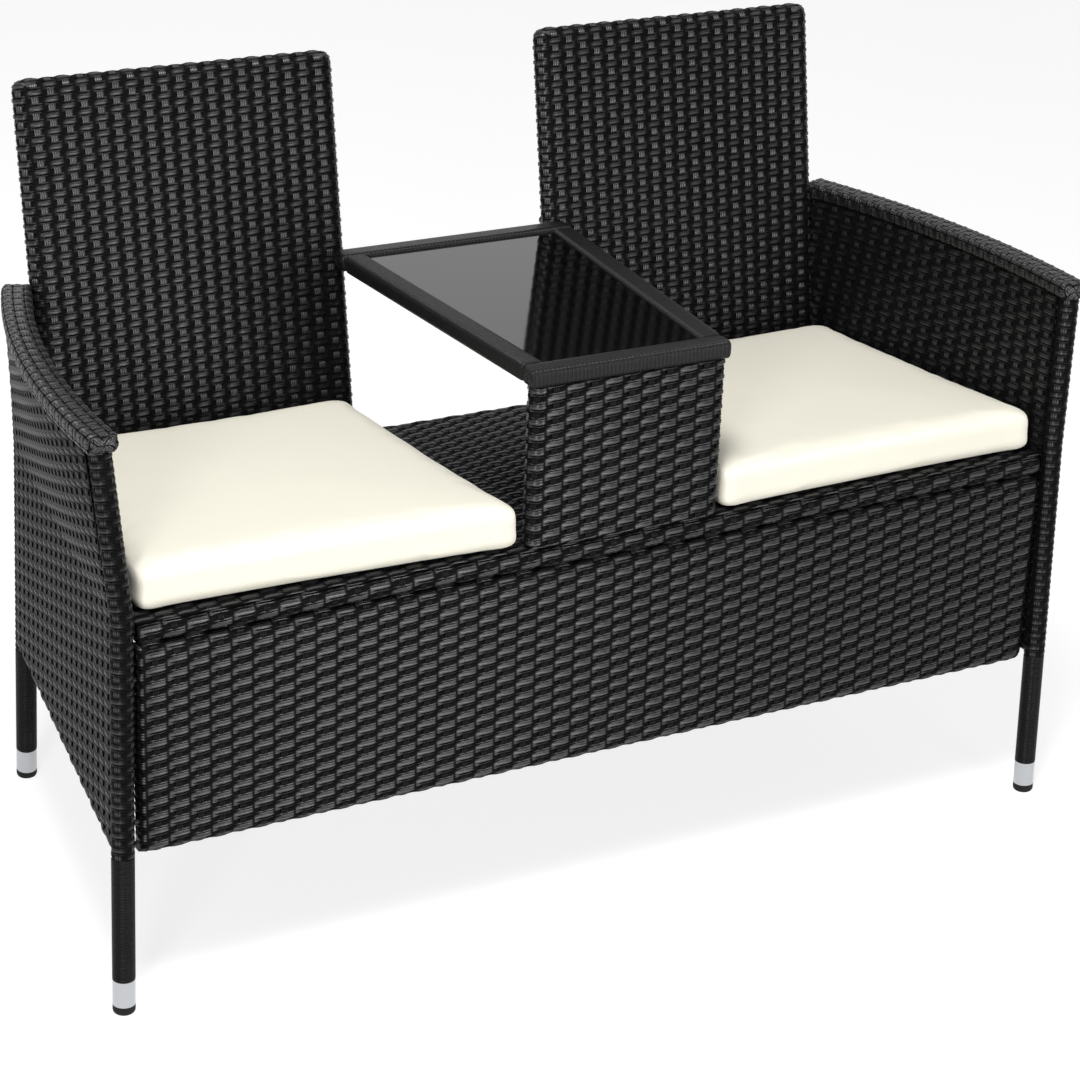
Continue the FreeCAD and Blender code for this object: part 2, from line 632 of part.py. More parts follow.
# Backrests: two uprights, a top rail and a bottom rail in a woven sock.
table_rail_mid_z = size("table_top_height") - cover - size("table_rail_height") / 2
table_rear_y = back_front_y(size("table_top_height") - 2 * cover - size("table_rail_height"))
table_rear_y -= size("table_rear_clearance")
back_axis = back_turn.multVec(UP)
back_bolt_drills = {}
table_bolt_drills = {}
for word, side in SIDES:
    frame = back_frame(side)
    half = back_thickness / 2
    inset = cover + back_tube_radius
    low = -size("back_foot_length")
    top_z = size("back_length") - cover - back_tube_radius
    upright_top = size("back_length") - cover
    upright_x = (inset, back_width - inset)
    uprights = [[frame.multVec(Vector(x, half, z)) for z in (low, upright_top)] for x in upright_x]
    top_ends = [frame.multVec(Vector(x, half, top_z)) for x in upright_x]
    low_ends = [frame.multVec(Vector(x, half, inset)) for x in upright_x]

    # Bolts: the foot of each upright to the seat's rear rail, the inner upright to the table.
    back_bolt_drills[side] = []
    places = ("inner", "outer") if side > 0 else ("outer", "inner")
    for place, (start, end) in zip(places, uprights):
        on_axis = start + back_axis * ((rear_rail_z - start.z) / back_axis.z)
        rear_face = on_axis + Vector(0, back_tube_radius / math.cos(recline), 0)
        rear_face.y += size("washer_diameter") / 2 * math.tan(recline)
        length = rear_face.y - rear_rail_y + size("bolt_end")
        name = "%s_%s_back_bolt" % (word, place)
        back_bolt_drills[side].append(bolt("backrest", name, rear_face, -ALONG_Y, length))
    inner = uprights[0] if side > 0 else uprights[1]
    on_axis = inner[0] + back_axis * ((table_rail_mid_z - inner[0].z) / back_axis.z)
    rail_end = size("table_rear_half") - cover
    bolt_x = rail_end - wall - size("bolt_diameter") / 2 - size("bolt_clearance") - weld_gap
    rear_face = Vector(side * bolt_x, on_axis.y + (half + weld_gap) / math.cos(recline), table_rail_mid_z)
    rear_face.y += size("washer_diameter") / 2 * math.tan(recline)
    length = rear_face.y - table_rear_y + cover + size("table_rail_width") / 2 + size("bolt_end")
    drill = bolt("table", word + "_table_bolt", rear_face, -ALONG_Y, length)
    table_bolt_drills[side] = drill

    name = word + "_backrest_uprights"
    drills = back_bolt_drills[side] + [drill]
    posts = [tube("%s_%d" % (name, i), BACK_TUBE, *ends, *drills) for i, ends in enumerate(uprights)]
    group(name, posts)
    rooms = [around("%s_room_%d" % (name, i), BACK_TUBE, *ends) for i, ends in enumerate(uprights)]
    keep(word + "_backrest_top_rail", tube(word + "_backrest_top_rail", BACK_TUBE, *top_ends, *rooms))
    keep(word + "_backrest_bottom_rail", tube(word + "_backrest_bottom_rail", BACK_TUBE, *low_ends, *rooms))

    name = word + "_backrest_weave"
    full = doc.addObject("Part::Box", name + "_full")
    full.Length = back_width
    full.Width = back_thickness
    full.setExpression("Height", "Dimensions.back_length")
    full.Placement = frame
    doc.recompute()
    lower = [i for i, e in enumerate(full.Shape.Edges) if all(
        abs(frame.inverse().multVec(v.Point).z) < skin for v in e.Vertexes)]
    rounded = doc.addObject("Part::Fillet", name + "_rounded")
    rounded.Base = full
    rounded.Edges = [(i + 1, size("back_rounding"), size("back_rounding"))
                     for i in range(len(full.Shape.Edges)) if i not in lower]
    hollow = doc.addObject("Part::Box", name + "_hollow")
    hollow.Length = back_width - 2 * skin
    hollow.Width = back_thickness - 2 * skin
    hollow.setExpression("Height", "Dimensions.back_length")
    hollow.Placement = frame * Placement(Vector(skin, skin, -skin), Rotation())
    keep(name, less(name, rounded, hollow, drill))

# Seat rails, crossbars, woven seat and the woven band round the front rail.
all_back_drills = back_bolt_drills[-1] + back_bolt_drills[1]
panel_centre_y = -size("table_front_y") + size("panel_set_back") + cover + tube_radius
seat_top_front = weave_bottom_front + size("seat_weave_thickness")


def seat_top(y):
    """Top of the woven seat at a depth."""
    return seat_top_front - seat_slope * (y - front_rail_y)


panel_bottom = seat_top(-size("table_front_y")) + skin_clearance
panel_rail_z = panel_bottom + skin_clearance + tube_radius
panel_drills = []
head_rooms = []
for word, side in SIDES:
    under = Vector(side * size("panel_bolt_x"), front_rail_y, front_rail_z - seat_tube_radius)
    length = panel_rail_z - under.z + size("bolt_end")
    panel_drills.append(bolt("table", word + "_panel_bolt", under, UP, length))
    head_radius = "Dimensions.washer_diameter / 2 + Dimensions.bolt_clearance"
    head_low = under - UP * seat_tube_radius
    head_rooms.append(rod(word + "_panel_head_room", head_radius, head_low, under + UP * skin))

keep("seat_front_rail", tube("seat_front_rail", SEAT_TUBE, *front_rail_ends, *panel_drills))
keep("seat_rear_rail", tube("seat_rear_rail", SEAT_TUBE, *rear_rail_ends, *all_back_drills))
front_room = around("seat_front_room", SEAT_TUBE, *front_rail_ends)
rear_room = around("seat_rear_room", SEAT_TUBE, *rear_rail_ends)
bar_rooms = []
for word, side in SIDES:
    name = word + "_seat_side_rail"
    ends = seat_bar_ends(side * side_x(front_rail_y, side_rail_offset),
                         side * side_x(rear_rail_y, side_rail_offset))
    keep(name, tube(name, SEAT_TUBE, *ends, front_room, rear_room, *seat_bolt_drills[side]))
    bar_rooms.append(rod(name + "_room", SEAT_TUBE + " + Dimensions.skin_clearance", *ends))
crossbars = []
for word, side in SIDES:
    name = word + "_seat_crossbar"
    ends = seat_bar_ends(side * size("crossbar_x"), side * size("crossbar_x"))
    crossbars.append(tube(name, SEAT_TUBE, *ends, front_room, rear_room))
    bar_rooms.append(rod(name + "_room", SEAT_TUBE + " + Dimensions.skin_clearance", *ends))
group("seat_crossbars", crossbars)

band = rod("seat_front_band_outside", SEAT_TUBE + " + " + COVER, *front_rail_ends)
band_bore = rod("seat_front_band_bore", SEAT_TUBE + " + Dimensions.skin_clearance", *front_rail_ends)
keep("seat_front_band", less("seat_front_band", band, band_bore, *bar_rooms, *panel_drills, *head_rooms))

seat_edge_offset = side_half + size("seat_side_clearance")
weave_front_y = front_rail_y - seat_tube_radius
weave_rear_y = back_front_y(weave_bottom_rear) - size("seat_side_clearance")


def on_weave_bottom(x, y):
    """Point of the woven seat's underside."""
    return Vector(x, y, weave_bottom_front - seat_slope * (y - front_rail_y))


weave = doc.addObject("Part::Extrusion", "seat_weave_sheet")
weave.Base = wire_object("seat_weave_outline", polygon([
    on_weave_bottom(-side_x(weave_front_y, seat_edge_offset), weave_front_y),
    on_weave_bottom(side_x(weave_front_y, seat_edge_offset), weave_front_y),
    on_weave_bottom(side_x(weave_rear_y, seat_edge_offset), weave_rear_y),
    on_weave_bottom(-side_x(weave_rear_y, seat_edge_offset), weave_rear_y),
]))
weave.DirMode = "Custom"
weave.Dir = UP
weave.Solid = True
weave.setExpression("LengthFwd", "Dimensions.seat_weave_thickness")
keep("seat_weave", less("seat_weave", weave, *panel_drills))

# Apron: four rails behind a woven skin that is folded round them and open at the back.
rail_end = apron_end - cover
long_rails = []
rooms = []
for word, z in (("upper", apron_top_z), ("lower", apron_lower_z)):
    ends = Vector(-rail_end, apron_y, z), Vector(rail_end, apron_y, z)
    long_rails.append(tube(word + "_apron_rail", TUBE, *ends))
    rooms.append(around(word + "_apron_rail_room", TUBE, *ends))
group("apron_long_rails", long_rails)
end_rails = []
for word, side in SIDES:
    low = Vector(side * apron_end_rail_x, apron_y, apron_lower_z)
    high = Vector(side * apron_end_rail_x, apron_y, apron_top_z)
    end_rails.append(tube(word + "_apron_end_rail", TUBE, low, high, *rooms, *apron_bolt_drills[side]))
group("apron_end_rails", end_rails)
tray = doc.addObject("Part::Box", "apron_tray")
tray.Length = 2 * apron_end
tray.setExpression("Width", "Dimensions.tube_diameter + 2 * " + COVER)
tray.Height = apron_top - size("apron_lower_height")
tray.Placement = Placement(Vector(-apron_end, -size("apron_front_y"), size("apron_lower_height")), Rotation())
hollow = doc.addObject("Part::Box", "apron_hollow")
hollow.Length = 2 * (apron_end - skin)
hollow.setExpression("Width", "Dimensions.tube_diameter + 2 * " + COVER)
hollow.Height = apron_top - size("apron_lower_height") - 2 * skin
hollow.Placement = Placement(
    Vector(-apron_end + skin, -size("apron_front_y") + skin, size("apron_lower_height") + skin), Rotation())
keep("apron_weave", less("apron_weave", tray, hollow, *apron_bolt_drills[-1], *apron_bolt_drills[1]))

# Table: a tapered frame of four wrapped rails.
table_front_y = -size("table_front_y")
table_bottom = size("table_top_height") - 2 * cover - size("table_rail_height")
table_rail_z = table_bottom + cover
taper = (size("table_rear_half") - size("table_front_half")) / (table_rear_y - table_front_y)
taper_length = math.hypot(1, taper)
wrapped_width = size("table_rail_width") + 2 * cover


def table_half(y, inset):
    """Half width of the table at a depth, less an inset from its slanting edge."""
    return size("table_front_half") + taper * (y - table_front_y) - inset * taper_length


def cross_piece(name, near_y, far_y, inset, bottom, height):
    """Piece along X as wide as the table, less an inset."""
    near = table_half(near_y, inset)
    far = table_half(far_y, inset)
    outline = [(-near, near_y), (near, near_y), (far, far_y), (-far, far_y)]
    return raised(name, polygon([Vector(x, y, bottom) for x, y in outline]), height)


def edge_piece(name, side, near_y, far_y, outer, inner, bottom, height):
    """Piece along a slanting edge of the table, between two insets from that edge."""
    outline = [(near_y, outer), (far_y, outer), (far_y, inner), (near_y, inner)]
    corners = [Vector(side * table_half(y, inset), y, bottom) for y, inset in outline]
    return raised(name, polygon(corners), height)


RAIL = "Dimensions.table_rail_height"
RAIL_BORE = "Dimensions.table_rail_height - 2 * Dimensions.tube_wall"
RAIL_ROOM = "Dimensions.table_rail_height + 2 * Dimensions.skin_clearance"
RAIL_WRAP = "Dimensions.table_rail_height + 2 * " + COVER
glass_top = size("table_top_height") - size("glass_recess")
glass_bottom = glass_top - size("glass_thickness")
bumper_bottom = glass_bottom - size("rest_gap") - size("bumper_height")
lug_bottom = bumper_bottom - size("lug_thickness")
inner_front_y = table_front_y + wrapped_width
inner_rear_y = table_rear_y - wrapped_width

# Lugs are welded to the front and rear rails and carry the bumpers under the glass.
lugs = []
bumpers = []
lug_rooms = []
for word, rail_face, inward in (("front", inner_front_y - cover, 1), ("rear", inner_rear_y + cover, -1)):
    for hand, side in SIDES:
        name = "%s_%s_glass_lug" % (word, hand)
        low_x = side * size("lug_spread") - size("lug_width") / 2
        low_y = rail_face + weld_gap if inward > 0 else rail_face - weld_gap - size("lug_reach")
        lugs.append(block(name, Placement(), Vector(low_x, low_y, lug_bottom),
                          "Dimensions.lug_width", "Dimensions.lug_reach", "Dimensions.lug_thickness"))
        room_low = Vector(low_x - skin_clearance, low_y - skin_clearance, lug_bottom - skin_clearance)
        lug_rooms.append(block(name + "_room", Placement(), room_low,
                               "Dimensions.lug_width + 2 * Dimensions.skin_clearance",
                               "Dimensions.lug_reach + 2 * Dimensions.skin_clearance",
                               "Dimensions.lug_thickness + 2 * Dimensions.skin_clearance"))
        tip = low_y + size("lug_reach") if inward > 0 else low_y
        centre = Vector(side * size("lug_spread"), tip - inward * size("bumper_diameter") / 2, bumper_bottom)
        bumper_top = centre + UP * size("bumper_height")
        bumpers.append(rod(name + "_bumper", "Dimensions.bumper_diameter / 2", centre, bumper_top))
group("glass_lugs", lugs)
group("glass_bumpers", bumpers)

table_drills = list(table_bolt_drills.values())
cross_rails = (("table_front_rail", "table_front_wrap", table_front_y, inner_front_y, []),
               ("table_rear_rail", "table_rear_wrap", inner_rear_y, table_rear_y, table_drills))
for rail_name, wrap_name, near_y, far_y, drills in cross_rails:
    rail = cross_piece(rail_name + "_outside", near_y + cover, far_y - cover, cover, table_rail_z, RAIL)
    bore = cross_piece(rail_name + "_bore", near_y + cover + wall, far_y - cover - wall, 0,
                       table_rail_z + wall, RAIL_BORE)
    keep(rail_name, less(rail_name, rail, bore, *drills))
    wrap = cross_piece(wrap_name + "_outside", near_y, far_y, 0, table_bottom, RAIL_WRAP)
    room = cross_piece(wrap_name + "_room", near_y + skin, far_y - skin, skin,
                       table_rail_z - skin_clearance, RAIL_ROOM)
    keep(wrap_name, less(wrap_name, wrap, room, *lug_rooms, *drills))
edge_near = inner_front_y + size("table_joint_gap")
edge_far = inner_rear_y - size("table_joint_gap")
for word, side in SIDES:
    name = "table_%s_rail" % word
    rail = edge_piece(name + "_outside", side, edge_near, edge_far, cover, wrapped_width - cover,
                      table_rail_z, RAIL)
    bore = edge_piece(name + "_bore", side, edge_near, edge_far, cover + wall, wrapped_width - cover - wall,
                      table_rail_z + wall, RAIL_BORE)
    keep(name, less(name, rail, bore))
    name = "table_%s_wrap" % word
    wrap = edge_piece(name + "_outside", side, edge_near, edge_far, 0, wrapped_width, table_bottom, RAIL_WRAP)
    room = edge_piece(name + "_room", side, edge_near, edge_far, skin, wrapped_width - skin,
                      table_rail_z - skin_clearance, RAIL_ROOM)
    keep(name, less(name, wrap, room))

# Glass: a tapered pane with ground edges, loose inside the table frame.
pane_room = size("glass_clearance")
pane_inset = wrapped_width + pane_room
pane = cross_piece("glass_pane", inner_front_y + pane_room, inner_rear_y - pane_room,
                   pane_inset, glass_bottom, "Dimensions.glass_thickness")
doc.recompute()
ground = doc.addObject("Part::Chamfer", "glass_ground")
ground.Base = pane
ground.Edges = [(i + 1, size("glass_bevel"), size("glass_bevel")) for i, e in enumerate(pane.Shape.Edges)
                if abs(e.Vertexes[0].Z - e.Vertexes[1].Z) < skin_clearance]
keep("table_glass", ground)

# Front panel under the table: two uprights and a bottom rail in a woven sock.
panel_half = size("table_front_half") - size("panel_set_back")
panel_front_y = table_front_y + size("panel_set_back")
panel_top = table_bottom - skin_clearance
panel_thickness = 2 * (tube_radius + cover)
upright_x = panel_half - cover - size("panel_upright_inset") - tube_radius
bottom_ends = [Vector(side * upright_x, panel_centre_y, panel_rail_z) for word, side in SIDES]
panel_uprights = []
rooms = []
for word, side in SIDES:
    low = Vector(side * upright_x, panel_centre_y, panel_bottom + skin_clearance)
    high = Vector(side * upright_x, panel_centre_y, panel_top - weld_gap)
    panel_uprights.append(tube(word + "_panel_upright", TUBE, low, high))
    rooms.append(around(word + "_panel_upright_room", TUBE, low, high))
group("table_panel_uprights", panel_uprights)
keep("table_panel_rail", tube("table_panel_rail", TUBE, *bottom_ends, *rooms, *panel_drills))
sock = doc.addObject("Part::Box", "table_panel_sock")
sock.Length = 2 * panel_half
sock.setExpression("Width", "Dimensions.tube_diameter + 2 * " + COVER)
sock.Height = panel_top - panel_bottom
sock.Placement = Placement(Vector(-panel_half, panel_front_y, panel_bottom), Rotation())
hollow = doc.addObject("Part::Box", "table_panel_hollow")
hollow.Length = 2 * (panel_half - skin)
hollow.setExpression("Width", "Dimensions.tube_diameter + 2 * Dimensions.skin_clearance")
hollow.Height = 2 * (panel_top - panel_bottom)
hollow_low = Vector(-panel_half + skin, panel_front_y + skin, panel_bottom - skin)
hollow.Placement = Placement(hollow_low, Rotation())
keep("table_panel_weave", less("table_panel_weave", sock, hollow))

# Cushions: foam in a fabric cover, crowned on top, with sides drawn in between the corners.
cushion_rear_y = back_front_y(seat_top(size("back_base_y"))) - size("cushion_rear_clearance")
seat_angle = math.degrees(math.atan(seat_slope))


def cushion_corners(side, inset):
    """Corners of a cushion from above, in order round it, drawn in by an inset."""
    front_inner_y = -size("cushion_front_inner_y") + inset
    front_outer_y = -size("cushion_front_outer_y") + inset
    rear_y = cushion_rear_y - inset
    beside_table = size("cushion_table_clearance") + inset
    beside_arm = side_half + size("cushion_side_clearance") + inset
    return [
        Vector(side * table_half(front_inner_y, -beside_table), front_inner_y, 0),
        Vector(side * side_x(front_outer_y, beside_arm), front_outer_y, 0),
        Vector(side * side_x(rear_y, beside_arm), rear_y, 0),
        Vector(side * table_half(rear_y, -beside_table), rear_y, 0),
    ]


def cushion_section(side, inset, rise):
    """Edges of a level section: round corners joined by sides that bend inwards."""
    corners = cushion_corners(side, inset)
    centre = (corners[0] + corners[1] + corners[2] + corners[3]) * 0.25
    reach = max(size("cushion_corner") - inset / 2, size("cushion_rounding"))
    rest = Vector(0, front_rail_y, seat_top_front + size("rest_gap"))
    seat_frame = Placement(rest, Rotation(ALONG_X, -seat_angle))
    lift = Vector(0, front_rail_y, -rise)

    def placed(point):
        return seat_frame.multVec(point - lift)

    starts = []
    ends = []
    for i, corner in enumerate(corners):
        before = (corners[i - 1] - corner).normalize()
        after = (corners[(i + 1) % 4] - corner).normalize()
        starts.append(corner + before * reach)
        ends.append(corner + after * reach)
    edges = []
    for i, corner in enumerate(corners):
        middle = (starts[i] + ends[i]) * 0.5
        bulge = middle + (corner - middle) * (math.sqrt(2) - 1)
        edges.append(Part.Arc(placed(starts[i]), placed(bulge), placed(ends[i])).toShape())
        following = starts[(i + 1) % 4]
        half_way = (ends[i] + following) * 0.5
        pulled = half_way + (centre - half_way).normalize() * size("cushion_draw_in")
        edges.append(Part.Arc(placed(ends[i]), placed(pulled), placed(following)).toShape())
    return edges


def cushion_form(name, side, skin_off):
    """Closed cushion form, smaller by a skin all round."""
    edge = size("cushion_rounding")
    top = size("cushion_thickness") - skin_off
    crown = top + size("cushion_crown")
    quarter = edge * (1 - math.sqrt(0.5))
    slope_run = (side_x(0, side_half) - table_half(0, 0)) / 4
    profile = [
        (edge, skin_off), (quarter, skin_off + quarter), (0, skin_off + edge),
        (0, top - edge), (quarter, top - quarter), (edge, top),
        (slope_run, (2 * crown + top) / 3), (1.5 * slope_run, crown),
    ]
    return lofted(name, [cushion_section(side, inset + skin_off, rise) for inset, rise in profile])


for word, side in SIDES:
    name = word + "_cushion"
    outside = cushion_form(name + "_outside", side, 0)
    inside = cushion_form(name + "_inside", side, size("cover_thickness"))
    foam = cushion_form(name + "_core", side, size("cover_thickness") + skin_clearance)
    keep(name + "_cover", less(name + "_cover", outside, inside))
    keep(name + "_foam", foam)

for kind, pieces in bolts.items():
    group(kind + "_bolts", pieces)
group("bolt_washers", washers)

doc.recompute()
for item in doc.Objects:
    if "Invalid" in item.State or "Error" in item.State:
        raise RuntimeError("%s could not be built" % item.Label)
for node in nodes:
    if node.Shape.isNull() or not node.Shape.isValid() or not node.Shape.Solids:
        raise RuntimeError("%s is not a valid solid" % node.Label)

os.makedirs("parts", exist_ok=True)
for node in nodes:
    node.Shape.exportStep("parts/%s.step" % node.Label)
print("%d nodes, %d solids" % (len(nodes), sum(len(node.Shape.Solids) for node in nodes)))
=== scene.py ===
"""Garden bench with a table: the looks of its woven rattan, cushions, glass and metal."""

import math
from collections import namedtuple

import bmesh
import bpy
import numpy as np
from mathutils import Matrix, Vector


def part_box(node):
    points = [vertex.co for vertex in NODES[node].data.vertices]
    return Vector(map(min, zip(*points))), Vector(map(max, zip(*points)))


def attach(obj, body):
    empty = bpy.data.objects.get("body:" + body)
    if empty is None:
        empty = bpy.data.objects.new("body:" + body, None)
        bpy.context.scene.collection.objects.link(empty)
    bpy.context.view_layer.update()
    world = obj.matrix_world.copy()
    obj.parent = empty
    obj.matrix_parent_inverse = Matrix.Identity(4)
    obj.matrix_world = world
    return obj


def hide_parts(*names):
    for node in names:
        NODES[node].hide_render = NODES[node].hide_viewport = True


bl_info = {
    "name": "Garden bench with table",
    "version": (1, 0, 0),
    "blender": (4, 5, 0),
    "location": "3D View > Sidebar > Bench",
    "description": "Dresses the bench's frame with woven rattan, cushions, glass and metal finishes",
    "category": "Object",
}

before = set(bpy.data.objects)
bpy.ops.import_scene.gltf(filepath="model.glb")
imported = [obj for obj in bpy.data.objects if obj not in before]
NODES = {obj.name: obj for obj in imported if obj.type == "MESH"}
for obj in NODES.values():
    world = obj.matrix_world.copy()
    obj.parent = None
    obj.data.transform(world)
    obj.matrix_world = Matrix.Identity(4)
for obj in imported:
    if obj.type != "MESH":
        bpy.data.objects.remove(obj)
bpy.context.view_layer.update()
SIDES = (("left", -1), ("right", 1))
UP = np.array((0.0, 0.0, 1.0))
QUARTER = math.pi / 2
TINY = 1e-9
# Ends of a CAD mesh are picked within this distance. All sizes are in metres.
END_PICK = 0.001

# Legs: floor, bend and top of each centre line on the right-hand side.
POST_LINE = np.array(((0.584, -0.266, 0.0), (0.574, -0.258, 0.456), (0.587, -0.242, 0.6325)))
REAR_LEG_LINE = np.array(((0.507, 0.266, 0.0), (0.516, 0.200, 0.456), (0.523, 0.186, 0.6325)))
WRAP_RADIUS = 0.0125
WRAP_START = 0.0402
WRAP_TOP_ROOM = 0.0027
BEND_SPREAD = 0.016
LEG_STAKES = 4
# Pitch of the fine windings below the woven sides.
FOOT_TURN = 0.0032

# Arms: front, middle and rear of the right-hand centre line seen from above, and the wound section.
ARM_LINE = np.array(((0.587, -0.242), (0.576, -0.028), (0.523, 0.186)))
ARM_BOTTOM = 0.630
ARM_TOP = 0.650
ARM_HALF_WIDTH = 0.0165
ARM_HALF_HEIGHT = 0.010
ARM_ROUNDING = 0.006
ARM_END_ROUNDING = 0.0045
ARM_FRONT_REACH = 0.0015
ARM_REAR_ROOM = 0.006
ARM_TURN = 0.0098
ARM_STAKES = 8

# Woven sides between the legs.
SIDE_BOTTOM = 0.185
SIDE_WIDTH = 0.435
SIDE_TOP_HALF = 0.0145
END_ROOM = 0.0045

# Backrests, which reach a little past their frames.
BACK_RECLINE = math.radians(10)
BACK_BASE_Y = 0.139
BACK_LENGTH = 0.438
BACK_THICKNESS = 0.027
BACK_REACH = 0.001
BACK_CLOSENESS = 1.25

# Apron, seat band and table frame.
APRON_REACH = 0.0015
APRON_FLANK = 0.014
APRON_ROUNDING = 0.006
APRON_EDGE_CURL = 2.6
BAND_ROWS = 8
BAND_STAKES = 44
TABLE_ROUNDING = 0.004
TABLE_TURN = 0.0048
TABLE_STAKES = 4

# How far a face can curl round a tube, in radians.
CURL_LIMIT = 2.7
# A strand is crowned: 0.6 mm on one 8.8 mm wide, and hardly at all on a narrow one.
CROWN = 0.0006
CROWN_WIDTH = 0.0088
CROWN_FALL = 4
NORMAL_STEP = 0.0002
UV_PER_METRE = 10

# A weave's inset sinks its strands below the CAD face. The sheen values, from 0 to 1, set face by face how
# strongly a highlight is painted on the strands' crests and shade in their dips, and row_steps is how many
# faces a row has from one stake to the next.
PLAIN_WEAVE = {"inset": 0.0015, "row_steps": 3, "row_painted_sheen": 1.0, "stake_painted_sheen": 0.08,
               "row_crown": None, "stakes_seen": True}
APRON_WEAVE = {"inset": 0.0004, "row_wave": 0.0013}
# The sides' outer skins get a weaker painted highlight and shade than their inner skins.
SIDE_WEAVES = (("outer", 1, {"row_painted_sheen": 0.12, "stake_painted_sheen": 0.12}),
               ("inner", -1, {"row_painted_sheen": 0.35, "stake_painted_sheen": 0.35}))
BACKREST_WEAVE = {"inset": 0.0005, "row_painted_sheen": 0.33, "stake_painted_sheen": 1.0}
SEAT_WEAVE = {"inset": 0.002, "row_wave": 0.0011}
BAND_WEAVE = {"inset": -0.0008, "row_wave": 0.0008}
FOOT_COIL = {"row_width": FOOT_TURN, "row_steps": 6, "row_wave": 0, "inset": 0.0006, "row_painted_sheen": 0.08,
             "row_crown": 0.0005, "stakes_seen": False}
LEG_WEAVE = {"row_steps": 5, "row_wave": 0.0007, "inset": 0.001, "row_painted_sheen": 0.2, "stake_painted_sheen": 0.25}
ARM_WEAVE = {"stake_width": 0.0095, "row_wave": 0.0009, "inset": 0.0006, "row_painted_sheen": 1.0,
             "stake_painted_sheen": 1.0}
TABLE_WINDING = {"row_steps": 6, "row_wave": 0, "inset": 0.0003, "row_painted_sheen": 0.14, "stakes_seen": False}

# Cushions: grid and frames of the simulation, limits of the swelling, and the filled corners.
CUSHION_GRID = 0.005
SWELL_FRAMES = 20
SWELL_LIMIT = 0.005
SWELL_SIDEWAYS = 0.0028
SWELL_AT_SEAT = 0.35
SWELL_FULL_HEIGHT = 0.03
CORNER_FILL = 0.0055
CORNER_REACH = 0.035

# Studio: each lamp's name, place, target, size and power, then the floor and the background.
LAMPS = (
    ("key_softbox", (-0.8, -1.2, 3.4), (0, 0, 0.4), 1.0, 90),
    ("front_softbox", (0.8, -3.0, 0.4), (-0.2, 0, 0.4), 0.9, 31),
    ("side_softbox", (-2.6, -3.0, 1.5), (0, 0.1, 0.65), 0.8, 50),
)
WHITE = (1, 1, 1, 1)
FLOOR_HALF = 20
FLOOR_LIFT = 0.74
WORLD_FILL = 0.22

# Camera, as fitted to the photograph.
CAMERA_YAW = math.radians(28.976)
CAMERA_PITCH = math.radians(24.187)
CAMERA_ROLL = math.radians(2.286)
CAMERA_PLACE = (-1.4947, -2.7731, 1.7454)
CAMERA_LENS = 98.69
CAMERA_SENSOR = 36.0
CAMERA_CLIP_END = 100

# Parallel strips: the axis that they run along, their places across it, their pitch and their width.
Strips = namedtuple("Strips", "axis places pitch width")


def length_setting(name, description, default):
    """Setting of one length."""
    return bpy.props.FloatProperty(name=name, description=description, default=default, subtype="DISTANCE")


def colour_setting(name, description, default):
    """Setting of one colour, an sRGB hex value."""
    return bpy.props.StringProperty(name=name, description=description, default=default)


class BenchSizes(bpy.types.PropertyGroup):
    """Sizes of the rattan strands and the pressure that swells the cushions."""

    row_pitch: length_setting("Row pitch", "From one packed strand to the next", 0.0085)
    row_width: length_setting("Row width", "Width of a packed strand", 0.0088)
    stake_pitch: length_setting("Stake pitch", "From one upright strand to the next", 0.0235)
    stake_width: length_setting("Stake width", "Width of an upright strand", 0.0075)
    strand_thickness: length_setting("Strand thickness", "Thickness of every strand", 0.0011)
    row_wave: length_setting("Row wave", "Rise of a packed strand over a stake", 0.0015)
    stake_wave: length_setting("Stake wave", "Rise of a stake over a packed strand", 0.0009)
    fabric_pressure: bpy.props.FloatProperty(
        name="Fabric pressure", description="Pressure that swells the cushions", default=4.0)


class BenchColours(bpy.types.PropertyGroup):
    """Colours of the bench's finishes and of the floor, as sRGB hex values."""

    rattan: colour_setting("Rattan", "Woven strands", "0F0F10")
    fabric: colour_setting("Fabric", "Cushion covers", "F1EDDD")
    steel_coat: colour_setting("Steel coat", "Frame tubes", "1C1C1D")
    aluminium: colour_setting("Aluminium", "Foot sleeves", "B4B6B9")
    rubber: colour_setting("Rubber", "Foot caps", "171717")
    silicone: colour_setting("Silicone", "Bumpers under the glass", "C9CCCE")
    glass: colour_setting("Glass", "Black table glass", "060607")
    zinc: colour_setting("Zinc", "Bolts and washers", "2B2B2C")
    floor: colour_setting("Floor", "Studio floor", "B8B8B8")


def sizes():
    """Sizes set for this scene."""
    return bpy.context.scene.bench_sizes


def colours():
    """Colours set for this scene."""
    return bpy.context.scene.bench_colours


def linear(hex_value):
    """Turn an sRGB hex value into a linear colour."""
    parts = [int(hex_value[i:i + 2], 16) / 255 for i in (0, 2, 4)]
    return [c / 12.92 if c <= 0.04045 else ((c + 0.055) / 1.055) ** 2.4 for c in parts] + [1.0]


def put(item, **values):
    """Set a node's inputs by name, with underscores for spaces."""
    for name, value in values.items():
        item.inputs[name.replace("_", " ")].default_value = value


def node(tree, kind, links=(), **settings):
    """Add a node; a setting that the node has as an attribute sets it, and any other sets an input."""
    made = tree.nodes.new(kind)
    for name, value in settings.items():
        if hasattr(made, name):
            setattr(made, name, value)
        else:
            put(made, **{name: value})
    for source, target in links:
        tree.links.new(source, made.inputs[target])
    return made


def maths(tree, operation, *values):
    """Combine sockets and plain numbers; returns the result's socket."""
    made = node(tree, "ShaderNodeMath", operation=operation)
    for slot, value in zip(made.inputs, values):
        if isinstance(value, bpy.types.NodeSocket):
            tree.links.new(value, slot)
        else:
            slot.default_value = value
    return made.outputs[0]


def map_range(tree, value, source, target, **settings):
    """Map a socket's value from one range to another; returns the result's socket."""
    made = node(tree, "ShaderNodeMapRange", [(value, 0)], **settings)
    put(made, From_Min=source[0], From_Max=source[1], To_Min=target[0], To_Max=target[1])
    return made.outputs[0]


